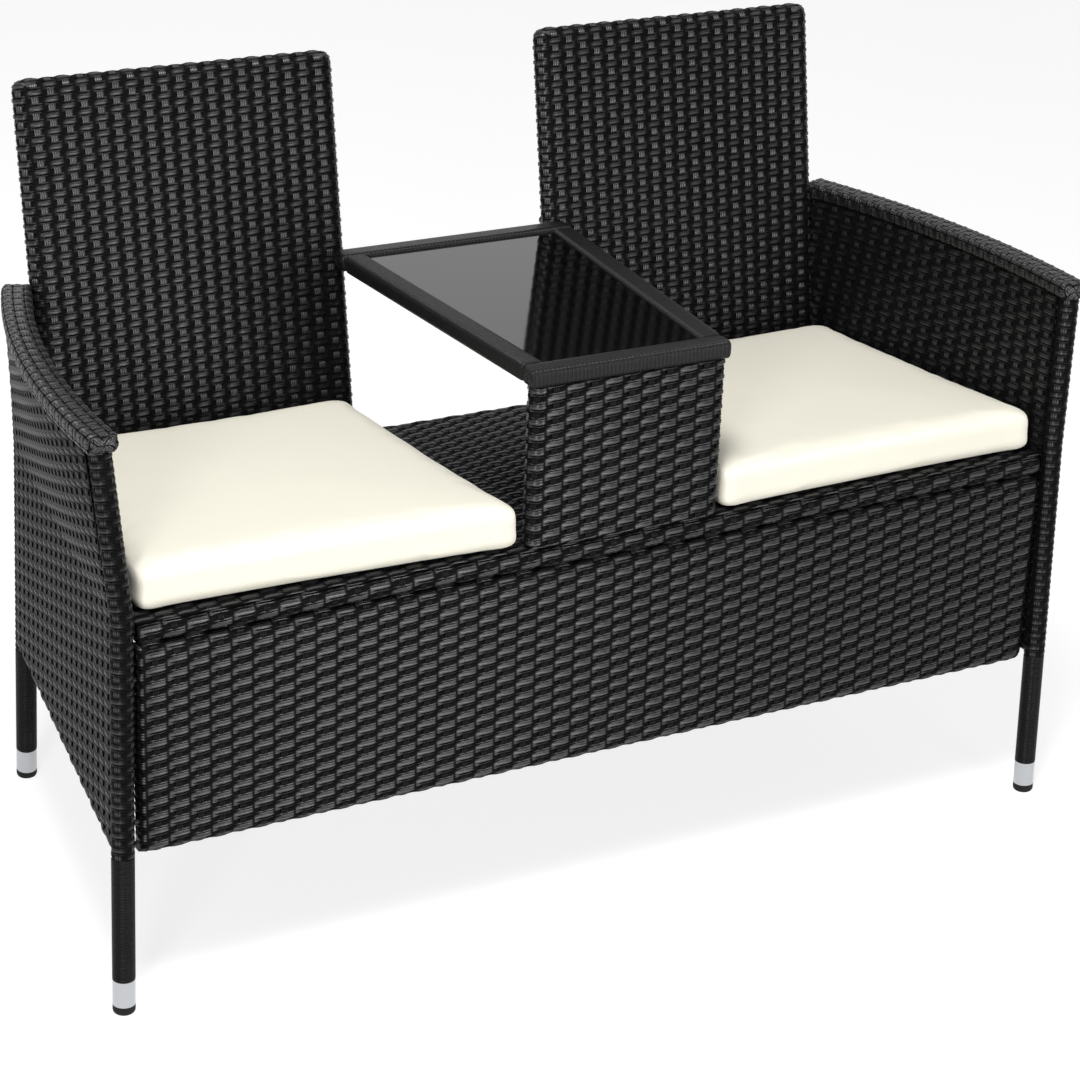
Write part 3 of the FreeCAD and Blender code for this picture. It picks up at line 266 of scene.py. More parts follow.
def noise(tree, scale, detail):
    """Cloudy noise over the object's own coordinates; returns its socket."""
    coords = node(tree, "ShaderNodeTexCoord")
    made = node(tree, "ShaderNodeTexNoise", [(coords.outputs["Object"], "Vector")],
                Scale=scale, Detail=detail)
    return made.outputs["Fac"]


def stripes(tree, axis, pitch, distortion):
    """Soft stripes a pitch apart along one axis of the object; returns their socket."""
    coords = node(tree, "ShaderNodeTexCoord")
    # The wave texture turns by 20 radians in a metre at a scale of one.
    made = node(tree, "ShaderNodeTexWave", [(coords.outputs["Object"], "Vector")],
                bands_direction=axis, Scale=2 * math.pi / 20 / pitch, Distortion=distortion)
    return made.outputs["Fac"]


def bump(tree, surface, height, strength, distance):
    """Let a socket's value raise the surface."""
    made = node(tree, "ShaderNodeBump", [(height, "Height")], Strength=strength, Distance=distance)
    tree.links.new(made.outputs[0], surface.inputs["Normal"])


def mottle(tree, surface, cloud, colour, darkest, lightest):
    """Let a surface's colour drift between two shares of its brightness."""
    base = linear(colour)
    ramp = node(tree, "ShaderNodeValToRGB", [(cloud, 0)])
    for stop, share in zip(ramp.color_ramp.elements, (darkest, lightest)):
        stop.color = [c * share for c in base[:3]] + [1]
    tree.links.new(ramp.outputs[0], surface.inputs["Base Color"])


def new_material(name):
    """Start a material with a Principled surface; returns it, its tree and the surface node."""
    material = bpy.data.materials.new(name)
    material.use_nodes = True
    tree = material.node_tree
    return material, tree, tree.nodes["Principled BSDF"]


def rattan_material():
    """Extruded polyethylene strand: fine ribs along it and a satin face that catches the light."""
    material, tree, surface = new_material("black_polyethylene_rattan")
    place = node(tree, "ShaderNodeUVMap", uv_map="strand")
    across = node(tree, "ShaderNodeSeparateXYZ", [(place.outputs[0], 0)])
    # Three ribs on a strand 8 mm wide; the real six are too fine to show.
    ribs = maths(tree, "SINE", maths(tree, "MULTIPLY", across.outputs["X"], 2 * math.pi * 3))
    # Strands from different coils differ a little in shade, over stretches of about 40 mm.
    mottle(tree, surface, noise(tree, 25.0, 2.0), colours().rattan, 0.75, 1.35)
    # Painted shade in the grooves between the ribs: the shine is cut there and kept on the ribs' backs.
    painted_groove_shade = map_range(tree, ribs, (-1, 1), (0.3, 1.0))
    # Painted light: the shine is raised to paint a highlight where a strand stands out of the weave, and
    # cut to paint shade where it dips into a recess.
    rise = node(tree, "ShaderNodeAttribute", attribute_name="rise")
    painted_sheen_and_shade = map_range(tree, rise.outputs["Fac"], (0.0, 0.35), (0.03, 1.0), interpolation_type="SMOOTHSTEP")
    tree.links.new(maths(tree, "MULTIPLY", painted_groove_shade, painted_sheen_and_shade), surface.inputs["Specular IOR Level"])
    bump(tree, surface, ribs, 0.5, 0.0003)
    # The ribs draw each highlight out across the strand.
    lie = node(tree, "ShaderNodeTangent", direction_type="UV_MAP", uv_map="strand")
    tree.links.new(lie.outputs[0], surface.inputs["Tangent"])
    put(surface, Anisotropic=0.85, Roughness=0.36, IOR=1.5)
    return material


def fabric_material():
    """Woven polyester cover: matt cream with a fine thread and soft shading."""
    material, tree, surface = new_material("cream_polyester_weave")
    # Threads 0.5 mm apart are too fine to show, so they are drawn 2.4 mm apart.
    threads = [stripes(tree, axis, 0.0024, 0.4) for axis in "XY"]
    # Faint clouds about 70 mm across.
    mottle(tree, surface, noise(tree, 14.0, 3.0), colours().fabric, 0.96, 1.0)
    bump(tree, surface, maths(tree, "MULTIPLY", *threads), 0.12, 0.0003)
    put(surface, Roughness=0.85, Sheen_Weight=0.15)
    return material


def coat_material():
    """Powder-coated steel: fine orange peel under a satin black coat."""
    material, tree, surface = new_material("black_powder_coated_steel")
    # Orange peel about 1.5 mm across.
    peel = noise(tree, 650.0, 2.0)
    bump(tree, surface, peel, 0.12, 0.0002)
    tree.links.new(map_range(tree, peel, (0, 1), (0.38, 0.52)), surface.inputs["Roughness"])
    put(surface, Base_Color=linear(colours().steel_coat))
    return material


def aluminium_material():
    """Turned and polished aluminium: bright, with faint rings from the lathe."""
    material, tree, surface = new_material("polished_aluminium")
    # Turning marks 1.2 mm apart.
    rings = stripes(tree, "Z", 0.0012, 0.6)
    tree.links.new(map_range(tree, rings, (0, 1), (0.2, 0.3)), surface.inputs["Roughness"])
    put(surface, Base_Color=linear(colours().aluminium), Metallic=1.0)
    return material


def rubber_material(name, colour, roughness):
    """Moulded elastomer: a dull skin with a fine moulding grain."""
    material, tree, surface = new_material(name)
    # Moulding grain about 0.8 mm across.
    bump(tree, surface, noise(tree, 1200.0, 2.0), 0.2, 0.0002)
    put(surface, Base_Color=linear(colour), Roughness=roughness, Specular_IOR_Level=0.2)
    return material


def glass_material():
    """Tempered glass with a black back: a still, mirror-like face."""
    material, tree, surface = new_material("black_tempered_glass")
    # Roller waves of tempering, about 60 mm long, barely bend the reflections.
    bump(tree, surface, noise(tree, 16.0, 0.0), 0.03, 0.0005)
    put(surface, Base_Color=linear(colours().glass), Roughness=0.06, IOR=1.58)
    return material


def zinc_material():
    """Black zinc-plated steel: dark metal with a cloudy passivated skin."""
    material, tree, surface = new_material("black_zinc_plated_steel")
    # Clouds about 4 mm across.
    cloud = noise(tree, 250.0, 3.0)
    tree.links.new(map_range(tree, cloud, (0, 1), (0.3, 0.5)), surface.inputs["Roughness"])
    put(surface, Base_Color=linear(colours().zinc), Metallic=1.0)
    return material


def shared(name, make):
    """Return a material by name, made once."""
    return bpy.data.materials.get(name) or make()


def unit(vectors):
    """Scale each vector to a length of one."""
    return vectors / np.maximum(np.linalg.norm(vectors, axis=-1, keepdims=True), TINY)


def mesh_points(mesh):
    """Points of a mesh, one to a row."""
    points = np.zeros(len(mesh.vertices) * 3)
    mesh.vertices.foreach_get("co", points)
    return points.reshape(-1, 3)


def move_points(mesh, points):
    """Put a mesh's points in new places."""
    mesh.vertices.foreach_set("co", points.ravel())
    mesh.update()


def lay_strips(mesh_name, strips, length, along, across):
    """Flat strips side by side in one mesh, each a grid with a strand's width and length."""
    bm = bmesh.new()
    for place in strips.places:
        if strips.axis == 0:
            fit = Matrix.Translation((length / 2, place, 0)) @ Matrix.Diagonal((length, strips.width, 1, 1))
            bmesh.ops.create_grid(bm, x_segments=along, y_segments=across, size=0.5, matrix=fit)
        else:
            fit = Matrix.Translation((place, length / 2, 0)) @ Matrix.Diagonal((strips.width, length, 1, 1))
            bmesh.ops.create_grid(bm, x_segments=across, y_segments=along, size=0.5, matrix=fit)
    mesh = bpy.data.meshes.new(mesh_name)
    bm.to_mesh(mesh)
    bm.free()
    return mesh


def bend_strips(mesh, surface, strips, crossing, wave, inset, painted_sheen, crown=None):
    """Wave flat strips over and under those that cross them, and lay them on a surface.

    A sheen from 0 to 1 sets how strongly a highlight is painted on their crests and shade in their dips.
    """
    u, v = mesh_points(mesh)[:, :2].T
    lateral, run = (v, u) if strips.axis == 0 else (u, v)
    first = strips.places[0]
    number = np.round((lateral - first) / strips.pitch)
    across = (lateral - first - number * strips.pitch) / (strips.width / 2)
    sign = 1 - 2 * np.mod(number, 2)
    swing = sign * np.cos(math.pi * (run - crossing.places[0]) / crossing.pitch)
    if crown is None:
        crown = CROWN * min(1, strips.width / CROWN_WIDTH) ** CROWN_FALL
    height = wave * swing - crown * across ** 2 - inset
    points = surface(u, v)
    du = surface(u + NORMAL_STEP, v) - surface(u - NORMAL_STEP, v)
    dv = surface(u, v + NORMAL_STEP) - surface(u, v - NORMAL_STEP)
    normals = unit(np.cross(du, dv))
    layer = mesh.uv_layers.new(name="strand")
    corner = np.zeros(len(mesh.loops), np.int32)
    mesh.loops.foreach_get("vertex_index", corner)
    place = np.stack([(across[corner] + 1) / 2, run[corner] * UV_PER_METRE], axis=1)
    layer.data.foreach_set("uv", place.ravel().astype(np.float32))
    # The rise attribute holds painted light: each crest's painted highlight and each dip's painted shade,
    # scaled by the sheen.
    rise = mesh.attributes.new("rise", "FLOAT", "POINT")
    crest = swing * np.sign(wave) if wave else np.ones(len(u))
    rise.data.foreach_set("value", (crest * painted_sheen).astype(np.float32))
    move_points(mesh, points + normals * height[:, None])


def weave_sheet(mesh_name, face, row_count, stake_count, options):
    """Meshes of one woven sheet: packed rows along u, and stakes along v where they show.

    A face is a surface with its unrolled width and height.
    """
    surface, width, height = face
    s = sizes()
    how = {**PLAIN_WEAVE, **options}
    row_pitch = height / row_count
    stake_pitch = width / stake_count
    rows = Strips(0, [(j + 0.5) * row_pitch for j in range(row_count)], row_pitch,
                  how.get("row_width", row_pitch * s.row_width / s.row_pitch))
    stakes = Strips(1, [(i + 0.5) * stake_pitch for i in range(stake_count)], stake_pitch,
                    how.get("stake_width", s.stake_width))
    packed = lay_strips(mesh_name + "_rows", rows, width, stake_count * how["row_steps"], 3)
    bend_strips(packed, surface, rows, stakes, how.get("row_wave", s.row_wave), how["inset"],
                how["row_painted_sheen"], how["row_crown"])
    if not how["stakes_seen"]:
        return [packed]
    upright = lay_strips(mesh_name + "_stakes", stakes, height, row_count * 2, 2)
    bend_strips(upright, surface, stakes, rows, -s.stake_wave, how["inset"], how["stake_painted_sheen"])
    return [packed, upright]


def weave_face(name, face, closeness=1.0, options=None):
    """Meshes of a face woven at the bench's own pitches, or with its stakes closer together."""
    _, width, height = face
    s = sizes()
    rows = max(2, round(height / s.row_pitch))
    stakes = max(2, round(width * closeness / s.stake_pitch))
    return weave_sheet(name, face, rows, stakes, options or {})


def woven_piece(name, meshes, *nodes):
    """Join strips into one piece with real thickness, which stands for CAD nodes."""
    bm = bmesh.new()
    for mesh in meshes:
        bm.from_mesh(mesh)
        bpy.data.meshes.remove(mesh)
    # Extruded strands have crisp edges.
    for edge in bm.edges:
        edge.smooth = not edge.is_boundary
    joined = bpy.data.meshes.new(name)
    bm.to_mesh(joined)
    bm.free()
    joined.polygons.foreach_set("use_smooth", [True] * len(joined.polygons))
    piece = bpy.data.objects.new(name, joined)
    bpy.context.scene.collection.objects.link(piece)
    wall = piece.modifiers.new("strand_thickness", "SOLIDIFY")
    wall.thickness = sizes().strand_thickness
    wall.offset = 0
    piece.data.materials.append(shared("black_polyethylene_rattan", rattan_material))
    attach(piece, "bench")
    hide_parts(*nodes)
    return piece


def rounded_face(corner, ex, ez, width, height, radius, curl):
    """Flat face whose edges curl back round tubes; curl gives the angle at each edge.

    corner is the face's low left corner, curl is (left, right, low, high) in radians, and an edge
    with no curl ends flat. Returns the surface and its unrolled width and height.
    """
    ex = np.array(ex, float)
    ez = np.array(ez, float)
    out = np.cross(ex, ez)
    left, right, low, high = (radius * c for c in curl)
    flat_low = np.array([radius if c else 0 for c in (curl[0], curl[2])])
    flat_high = np.array([width - (radius if curl[1] else 0), height - (radius if curl[3] else 0)])
    corner = np.array(corner, float)

    def surface(u, v):
        flat = np.stack([u - left + flat_low[0], v - low + flat_low[1]], axis=-1)
        held = np.clip(flat, flat_low, flat_high)
        beyond = flat - held
        reach = np.linalg.norm(beyond, axis=-1)
        turn = np.minimum(reach / radius, CURL_LIMIT)
        direction = beyond / np.maximum(reach, TINY)[..., None]
        plane = held + direction * (radius * np.sin(turn))[..., None]
        depth = radius * (1 - np.cos(turn))
        return corner + plane[..., :1] * ex + plane[..., 1:] * ez - depth[..., None] * out

    unrolled_width = flat_high[0] - flat_low[0] + left + right
    unrolled_height = flat_high[1] - flat_low[1] + low + high
    return surface, unrolled_width, unrolled_height


def slab_face(low, high, flank, rounding):
    """Front of a flat panel that wraps back round its ends and curls in over its long edges."""
    depth = high.y - low.y
    radius = depth / 2
    end_turn = flank + rounding * QUARTER
    edge_turn = radius * APRON_EDGE_CURL
    flat_width = high.x - low.x - 2 * rounding
    flat_height = high.z - low.z - depth

    def surface(u, v):
        x = u - end_turn
        x_held = np.clip(x, 0, flat_width)
        x_past = np.abs(x - x_held)
        x_turn = np.minimum(x_past / rounding, QUARTER)
        z = v - edge_turn
        z_held = np.clip(z, 0, flat_height)
        z_turn = np.abs(z - z_held) / radius
        back = rounding * (1 - np.cos(x_turn)) + x_past - rounding * x_turn
        back = np.minimum(back + radius * (1 - np.cos(z_turn)), depth)
        return np.stack([low.x + rounding + x_held + np.sign(x - x_held) * rounding * np.sin(x_turn),
                         low.y + back,
                         low.z + radius + z_held + np.sign(z - z_held) * radius * np.sin(z_turn)], axis=-1)

    return surface, flat_width + 2 * end_turn, flat_height + 2 * edge_turn


class BENCH_OT_apron(bpy.types.Operator):
    """Weave the apron under the seat, curled round its four tubes"""

    bl_idname = "bench.apron"
    bl_label = "Woven apron"

    def execute(self, context):
        low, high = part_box("apron_weave")
        reach = Vector((APRON_REACH, 0, 0))
        face = slab_face(low - reach, high + reach, APRON_FLANK, APRON_ROUNDING)
        woven_piece("apron_strands", weave_face("apron", face, 1.0, APRON_WEAVE), "apron_weave")
        return {"FINISHED"}


def circle_through(points):
    """Centre and radius of the circle through three points of a plane."""
    (ax, ay), (bx, by), (cx, cy) = points
    d = 2 * (ax * (by - cy) + bx * (cy - ay) + cx * (ay - by))
    a2, b2, c2 = (x * x + y * y for x, y in points)
    centre = np.array(((a2 * (by - cy) + b2 * (cy - ay) + c2 * (ay - by)) / d,
                       (a2 * (cx - bx) + b2 * (ax - cx) + c2 * (bx - ax)) / d))
    return centre, np.linalg.norm(np.array(points[0]) - centre)


def arm_arc(side):
    """Centre, radius and end angles of one arm's arc, seen from above."""
    points = ARM_LINE * (side, 1)
    centre, radius = circle_through(points)
    front, rear = (math.atan2(p[1] - centre[1], (p[0] - centre[0]) * side) for p in (points[0], points[2]))
    return centre, radius, front, rear


def arc_ray(angle, side):
    """Level direction at each angle of an arm's arc."""
    return np.stack([np.cos(angle) * side, np.sin(angle), np.zeros_like(angle)], axis=-1)


def on_line(line, z):
    """Points of a bent centre line at the given heights."""
    return np.stack([np.interp(z, line[:, 2], line[:, i]) for i in (0, 1)] + [z], axis=-1)


def side_face(side, outer):
    """Surface of one skin of a woven side, folded half way round the lower tube."""
    post = POST_LINE * (side, 1, 1)
    leg = REAR_LEG_LINE * (side, 1, 1)
    centre, radius, front, rear = arm_arc(side)
    bend = post[1, 2]
    curl = WRAP_RADIUS * QUARTER
    height = ARM_BOTTOM - SIDE_BOTTOM - WRAP_RADIUS + curl
    forward = side * outer > 0

    def surface(u, v):
        share = u / SIDE_WIDTH if forward else 1 - u / SIDE_WIDTH
        straight_z = SIDE_BOTTOM + WRAP_RADIUS + v - curl
        turn = np.clip((curl - v) / WRAP_RADIUS, 0, math.pi)
        z = np.where(turn > 0, SIDE_BOTTOM + WRAP_RADIUS * (1 - np.sin(turn)), straight_z)
        # Up to the bend of the legs, the skin runs straight from post to leg.
        low_z = np.minimum(z, bend)
        a = on_line(post, low_z)
        run = on_line(leg, low_z) - a
        length = np.linalg.norm(run, axis=-1, keepdims=True)
        along = run / length
        mid = a + along * END_ROOM + run * (1 - 2 * END_ROOM / length) * share[..., None]
        mid[..., 2] = z
        away = np.stack([along[..., 1], -along[..., 0], np.zeros_like(z)], axis=-1) * side
        # Above it, the skin bows out to the arm's arc.
        inset = END_ROOM / radius
        ray = arc_ray(front + inset + (rear - front - 2 * inset) * share, side)
        bowed = np.stack([centre[0] + ray[..., 0] * radius, centre[1] + ray[..., 1] * radius, z], axis=-1)
        rise = np.clip((z - bend) / (ARM_BOTTOM - bend), 0, 1)[..., None]
        mid = mid * (1 - rise) + bowed * rise
        away = unit(away * (1 - rise) + ray * rise)
        half = WRAP_RADIUS + (SIDE_TOP_HALF - WRAP_RADIUS) * rise
        return mid + away * half * np.cos(turn)[..., None] * outer

    return surface, SIDE_WIDTH, height


class BENCH_OT_sides(bpy.types.Operator):
    """Weave the two skins of each side between its legs"""

    bl_idname = "bench.sides"
    bl_label = "Woven sides"

    def execute(self, context):
        for word, side in SIDES:
            meshes = []
            for skin, outer, weave in SIDE_WEAVES:
                meshes += weave_face("%s_side_%s" % (word, skin), side_face(side, outer), 1.0, weave)
            woven_piece(word + "_side_strands", meshes, word + "_side_weave")
        return {"FINISHED"}


class BENCH_OT_backrests(bpy.types.Operator):
    """Weave the sock of each backrest, front and rear"""

    bl_idname = "bench.backrests"
    bl_label = "Woven backrests"

    def execute(self, context):
        lean = np.array((0, math.sin(BACK_RECLINE), math.cos(BACK_RECLINE)))
        through = np.array((0, math.cos(BACK_RECLINE), -math.sin(BACK_RECLINE)))
        for word, _ in SIDES:
            low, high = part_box(word + "_backrest_weave")
            base_z = low.z + BACK_THICKNESS * math.sin(BACK_RECLINE)
            front = np.array((low.x - BACK_REACH, BACK_BASE_Y, base_z))
            rear = np.array((high.x + BACK_REACH, BACK_BASE_Y, base_z)) + through * BACK_THICKNESS
            width = high.x - low.x + 2 * BACK_REACH
            meshes = []
            for skin, corner, ex in (("front", front, (1, 0, 0)), ("rear", rear, (-1, 0, 0))):
                face = rounded_face(corner, ex, lean, width, BACK_LENGTH, BACK_THICKNESS / 2,
                                    (QUARTER, QUARTER, 0, QUARTER))
                meshes += weave_face("%s_backrest_%s" % (word, skin), face, BACK_CLOSENESS, BACKREST_WEAVE)
            woven_piece(word + "_backrest_strands", meshes, word + "_backrest_weave")
        return {"FINISHED"}


class BENCH_OT_table_panel(bpy.types.Operator):
    """Weave the sock of the panel that carries the table's front"""

    bl_idname = "bench.table_panel"
    bl_label = "Woven table panel"

    def execute(self, context):
        low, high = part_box("table_panel_weave")
        meshes = []
        for skin, corner, ex in (("front", (low.x, low.y, low.z), (1, 0, 0)),
                                 ("rear", (high.x, high.y, low.z), (-1, 0, 0))):
            face = rounded_face(corner, ex, (0, 0, 1), high.x - low.x, high.z - low.z,
                                (high.y - low.y) / 2, (QUARTER, QUARTER, 0, 0))
            meshes += weave_face("table_panel_" + skin, face)
        woven_piece("table_panel_strands", meshes, "table_panel_weave")
        return {"FINISHED"}


def cad_points(name):
    """Points of a CAD node's mesh, those of its front end and those of its rear end."""
    points = np.array([v.co for v in NODES[name].data.vertices])
    y = points[:, 1]
    return points, points[y < y.min() + END_PICK], points[y > y.max() - END_PICK]


class BENCH_OT_seat(bpy.types.Operator):
    """Weave the seat between its rails, and the band round the front rail"""

    bl_idname = "bench.seat"
    bl_label = "Woven seat and front band"

    def execute(self, context):
        self.seat()
        self.front_band()
        return {"FINISHED"}

    def seat(self):
        """Weave the seat between its front and rear edges."""
        points, front, rear = cad_points("seat_weave")
        front_half, _, front_z = front.max(0)
        rear_half, _, rear_z = rear.max(0)
        front_y = points[:, 1].min()
        width = 2 * front_half
        depth = points[:, 1].max() - front_y

        def surface(u, v):
            back = v / depth
            half = front_half + (rear_half - front_half) * back
            z = front_z + (rear_z - front_z) * back
            return np.stack([(2 * u / width - 1) * half, front_y + v, z], axis=-1)

        meshes = weave_face("seat", (surface, width, depth), 1.0, SEAT_WEAVE)
        woven_piece("seat_strands", meshes, "seat_weave")

    def front_band(self):
        """Weave the band, which goes right round the front rail."""
        low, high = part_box("seat_front_band")
        radius = (high.z - low.z) / 2
        centre = np.array(((low.x + high.x) / 2, (low.y + high.y) / 2, (low.z + high.z) / 2))
        length = high.x - low.x

        def surface(u, v):
            angle = v / radius
            ring = [u - length / 2, radius * np.cos(angle), -radius * np.sin(angle)]
            return centre + np.stack(ring, axis=-1)

        face = (surface, length, 2 * math.pi * radius)
        meshes = weave_sheet("front_band", face, BAND_ROWS, BAND_STAKES, BAND_WEAVE)
        woven_piece("front_band_strands", meshes, "seat_front_band")


def leg_surface(line):
    """Surface round a leg, where u runs round it and v up along it, and its length."""
    reach = np.linalg.norm(np.diff(line, axis=0), axis=1)
    marks = np.concatenate([[0], np.cumsum(reach)])
    directions = unit(np.diff(line, axis=0))
    lead = np.array((0.0, 1.0, 0.0))

    def surface(u, v):
        s = WRAP_START + v
        centre = np.stack([np.interp(s, marks, line[:, i]) for i in range(3)], axis=-1)
        blend = np.clip((s - marks[1]) / BEND_SPREAD + 0.5, 0, 1)[..., None]
        axis = unit(directions[0] * (1 - blend) + directions[1] * blend)
        e1 = unit(lead - axis * np.sum(axis * lead, axis=-1, keepdims=True))
        e2 = np.cross(axis, e1)
        angle = (u / WRAP_RADIUS)[..., None]
        return centre + WRAP_RADIUS * (np.cos(angle) * e1 + np.sin(angle) * e2)

    top = line[2, 2] - WRAP_TOP_ROOM
    share = (top - line[1, 2]) / (line[2, 2] - line[1, 2])
    return surface, marks[1] + reach[1] * share - WRAP_START


def leg_meshes(name, line):
    """Meshes of one leg: fine windings up to the woven side, and a weave from there on."""
    surface, length = leg_surface(line)
    around = 2 * math.pi * WRAP_RADIUS
    turns = round((SIDE_BOTTOM - WRAP_START) / FOOT_TURN)
    wound = turns * FOOT_TURN

    def coil(u, v):
        return surface(u, v + u / around * FOOT_TURN - FOOT_TURN / 2)

    def upper(u, v):
        return surface(u, v + wound)

    rows = round((length - wound) / sizes().row_pitch)
    windings = weave_sheet(name + "_coil", (coil, around, wound), turns, LEG_STAKES, FOOT_COIL)
    return windings + weave_sheet(name, (upper, around, length - wound), rows, LEG_STAKES, LEG_WEAVE)


class BENCH_OT_legs(bpy.types.Operator):
    """Wind the rattan round the front posts and the rear legs"""

    bl_idname = "bench.legs"
    bl_label = "Wound legs"

    def execute(self, context):
        for word, side in SIDES:
            for label, line in (("front_post", POST_LINE), ("rear_leg", REAR_LEG_LINE)):
                meshes = leg_meshes("%s_%s" % (word, label), line * (side, 1, 1))
                woven_piece("%s_%s_strands" % (word, label), meshes, "%s_%s_wrap" % (word, label))
        return {"FINISHED"}


def wrapped_bar(path, length, half_width, half_height, rounding, end_rounding):
    """Surface round a flat tube: u runs round its rounded section and v along it and over its ends.

    Returns the surface and its unrolled width and length.
    """
    flat_a = half_width - rounding
    flat_b = half_height - rounding
    corner = rounding * QUARTER
    marks = np.concatenate([[0], np.cumsum([2 * flat_b, corner, 2 * flat_a, corner] * 2)])
    around = marks[-1]
    nose = end_rounding * QUARTER
    cap = half_height - end_rounding
    span = length + 2 * (cap + nose - end_rounding)
    # Flat sides and rounded corners by turns: where each starts or is centred, and which way a side runs.
    legs = [(half_width, -flat_b, 0, 1), (flat_a, flat_b, 0, 0), (flat_a, half_height, -1, 0),
            (-flat_a, flat_b, 0, 0), (-half_width, flat_b, 0, -1), (-flat_a, -flat_b, 0, 0),
            (-flat_a, -half_height, 1, 0), (flat_a, -flat_b, 0, 0)]

    def section(u):
        u = np.mod(u, around)
        leg = np.clip(np.searchsorted(marks, u, side="right") - 1, 0, len(legs) - 1)
        rest = u - marks[leg]
        a = np.zeros_like(u)
        b = np.zeros_like(u)
        for i, (a0, b0, step_a, step_b) in enumerate(legs):
            here = leg == i
            if i % 2 == 0:
                a[here] = a0 + step_a * rest[here]
                b[here] = b0 + step_b * rest[here]
            else:
                angle = (i - 1) / 2 * QUARTER + rest[here] / rounding
                a[here] = a0 + rounding * np.cos(angle)
                b[here] = b0 + rounding * np.sin(angle)
        return a, b

    def surface(u, v):
        a, b = section(u)
        from_cap = np.minimum(v, span - v) - cap
        turn = np.clip(from_cap / end_rounding, 0, QUARTER)
        near = end_rounding * (1 - np.cos(turn)) + np.maximum(from_cap - nose, 0)
        centre, direction = path(np.where(v > span / 2, length - near, near))
        lateral = np.cross(UP, direction)
        # Over an end, the section shrinks until it closes.
        less = end_rounding * (1 - np.sin(turn)) + np.maximum(-from_cap, 0)
        wide = np.sign(a) * np.maximum(np.abs(a) - less, 0)
        tall = np.sign(b) * np.maximum(np.abs(b) - less, 0)
        return centre + lateral * wide[..., None] + UP * tall[..., None]

    return surface, around, span


class BENCH_OT_arms(bpy.types.Operator):
    """Wind the rattan round the flat arm tubes"""

    bl_idname = "bench.arms"
    bl_label = "Wound arms"

    def execute(self, context):
        for word, side in SIDES:
            _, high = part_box(word + "_arm_wrap")
            face = self.arm_face(side, high.y)
            rows = round(face[2] / ARM_TURN)
            meshes = weave_sheet(word + "_arm", face, rows, ARM_STAKES, ARM_WEAVE)
            woven_piece(word + "_arm_strands", meshes, word + "_arm_wrap")
        return {"FINISHED"}

    def arm_face(self, side, rear_y):
        """Surface round one arm, from past its post to its rear leg."""
        centre, radius, front, rear = arm_arc(side)
        start = front - (WRAP_RADIUS + ARM_FRONT_REACH) / radius
        rear_reach = (rear_y - ARM_REAR_ROOM - centre[1]) / radius
        end = min(rear + WRAP_RADIUS / radius, math.asin(rear_reach))
        middle = np.array((centre[0], centre[1], (ARM_BOTTOM + ARM_TOP) / 2))

        def path(v):
            angle = start + v / radius if side < 0 else end - v / radius
            forward = np.stack([-np.sin(angle) * side, np.cos(angle), np.zeros_like(angle)], axis=-1)
            return middle + arc_ray(angle, side) * radius, forward * -side

        return wrapped_bar(path, (end - start) * radius, ARM_HALF_WIDTH, ARM_HALF_HEIGHT,
                           ARM_ROUNDING, ARM_END_ROUNDING)


class BENCH_OT_table_frame(bpy.types.Operator):
    """Wind the rattan round the four rails of the table"""

    bl_idname = "bench.table_frame"
    bl_label = "Wound table frame"

    def execute(self, context):
        for label in ("front", "rear", "left", "right"):
            name = "table_%s_wrap" % label
            face = self.rail_face(name, label in ("front", "rear"))
            rows = round(face[2] / TABLE_TURN)
            meshes = weave_sheet(name, face, rows, TABLE_STAKES, TABLE_WINDING)
            woven_piece("table_%s_strands" % label, meshes, name)
        return {"FINISHED"}

    def rail_face(self, name, crosswise):
        """Surface round one rail, which runs crosswise or from front to rear."""
        points, near, far = cad_points(name)
        low = points.min(0)
        high = points.max(0)
        middle = (low + high) / 2
        if crosswise:
            start = np.array((high[0], middle[1], middle[2]))
            end = np.array((low[0], middle[1], middle[2]))
            half = (high[1] - low[1]) / 2
        else:
            near_x = near[:, 0]
            far_x = far[:, 0]
            start = np.array(((near_x.max() + near_x.min()) / 2, low[1], middle[2]))
            end = np.array(((far_x.max() + far_x.min()) / 2, high[1], middle[2]))
            half = (near_x.max() - near_x.min()) / 2
        length = np.linalg.norm(end - start)
        direction = (end - start) / length

        def path(v):
            place = start + v[..., None] * direction
            return place, np.broadcast_to(direction, place.shape)

        return wrapped_bar(path, length, half, (high[2] - low[2]) / 2, TABLE_ROUNDING, TABLE_ROUNDING)


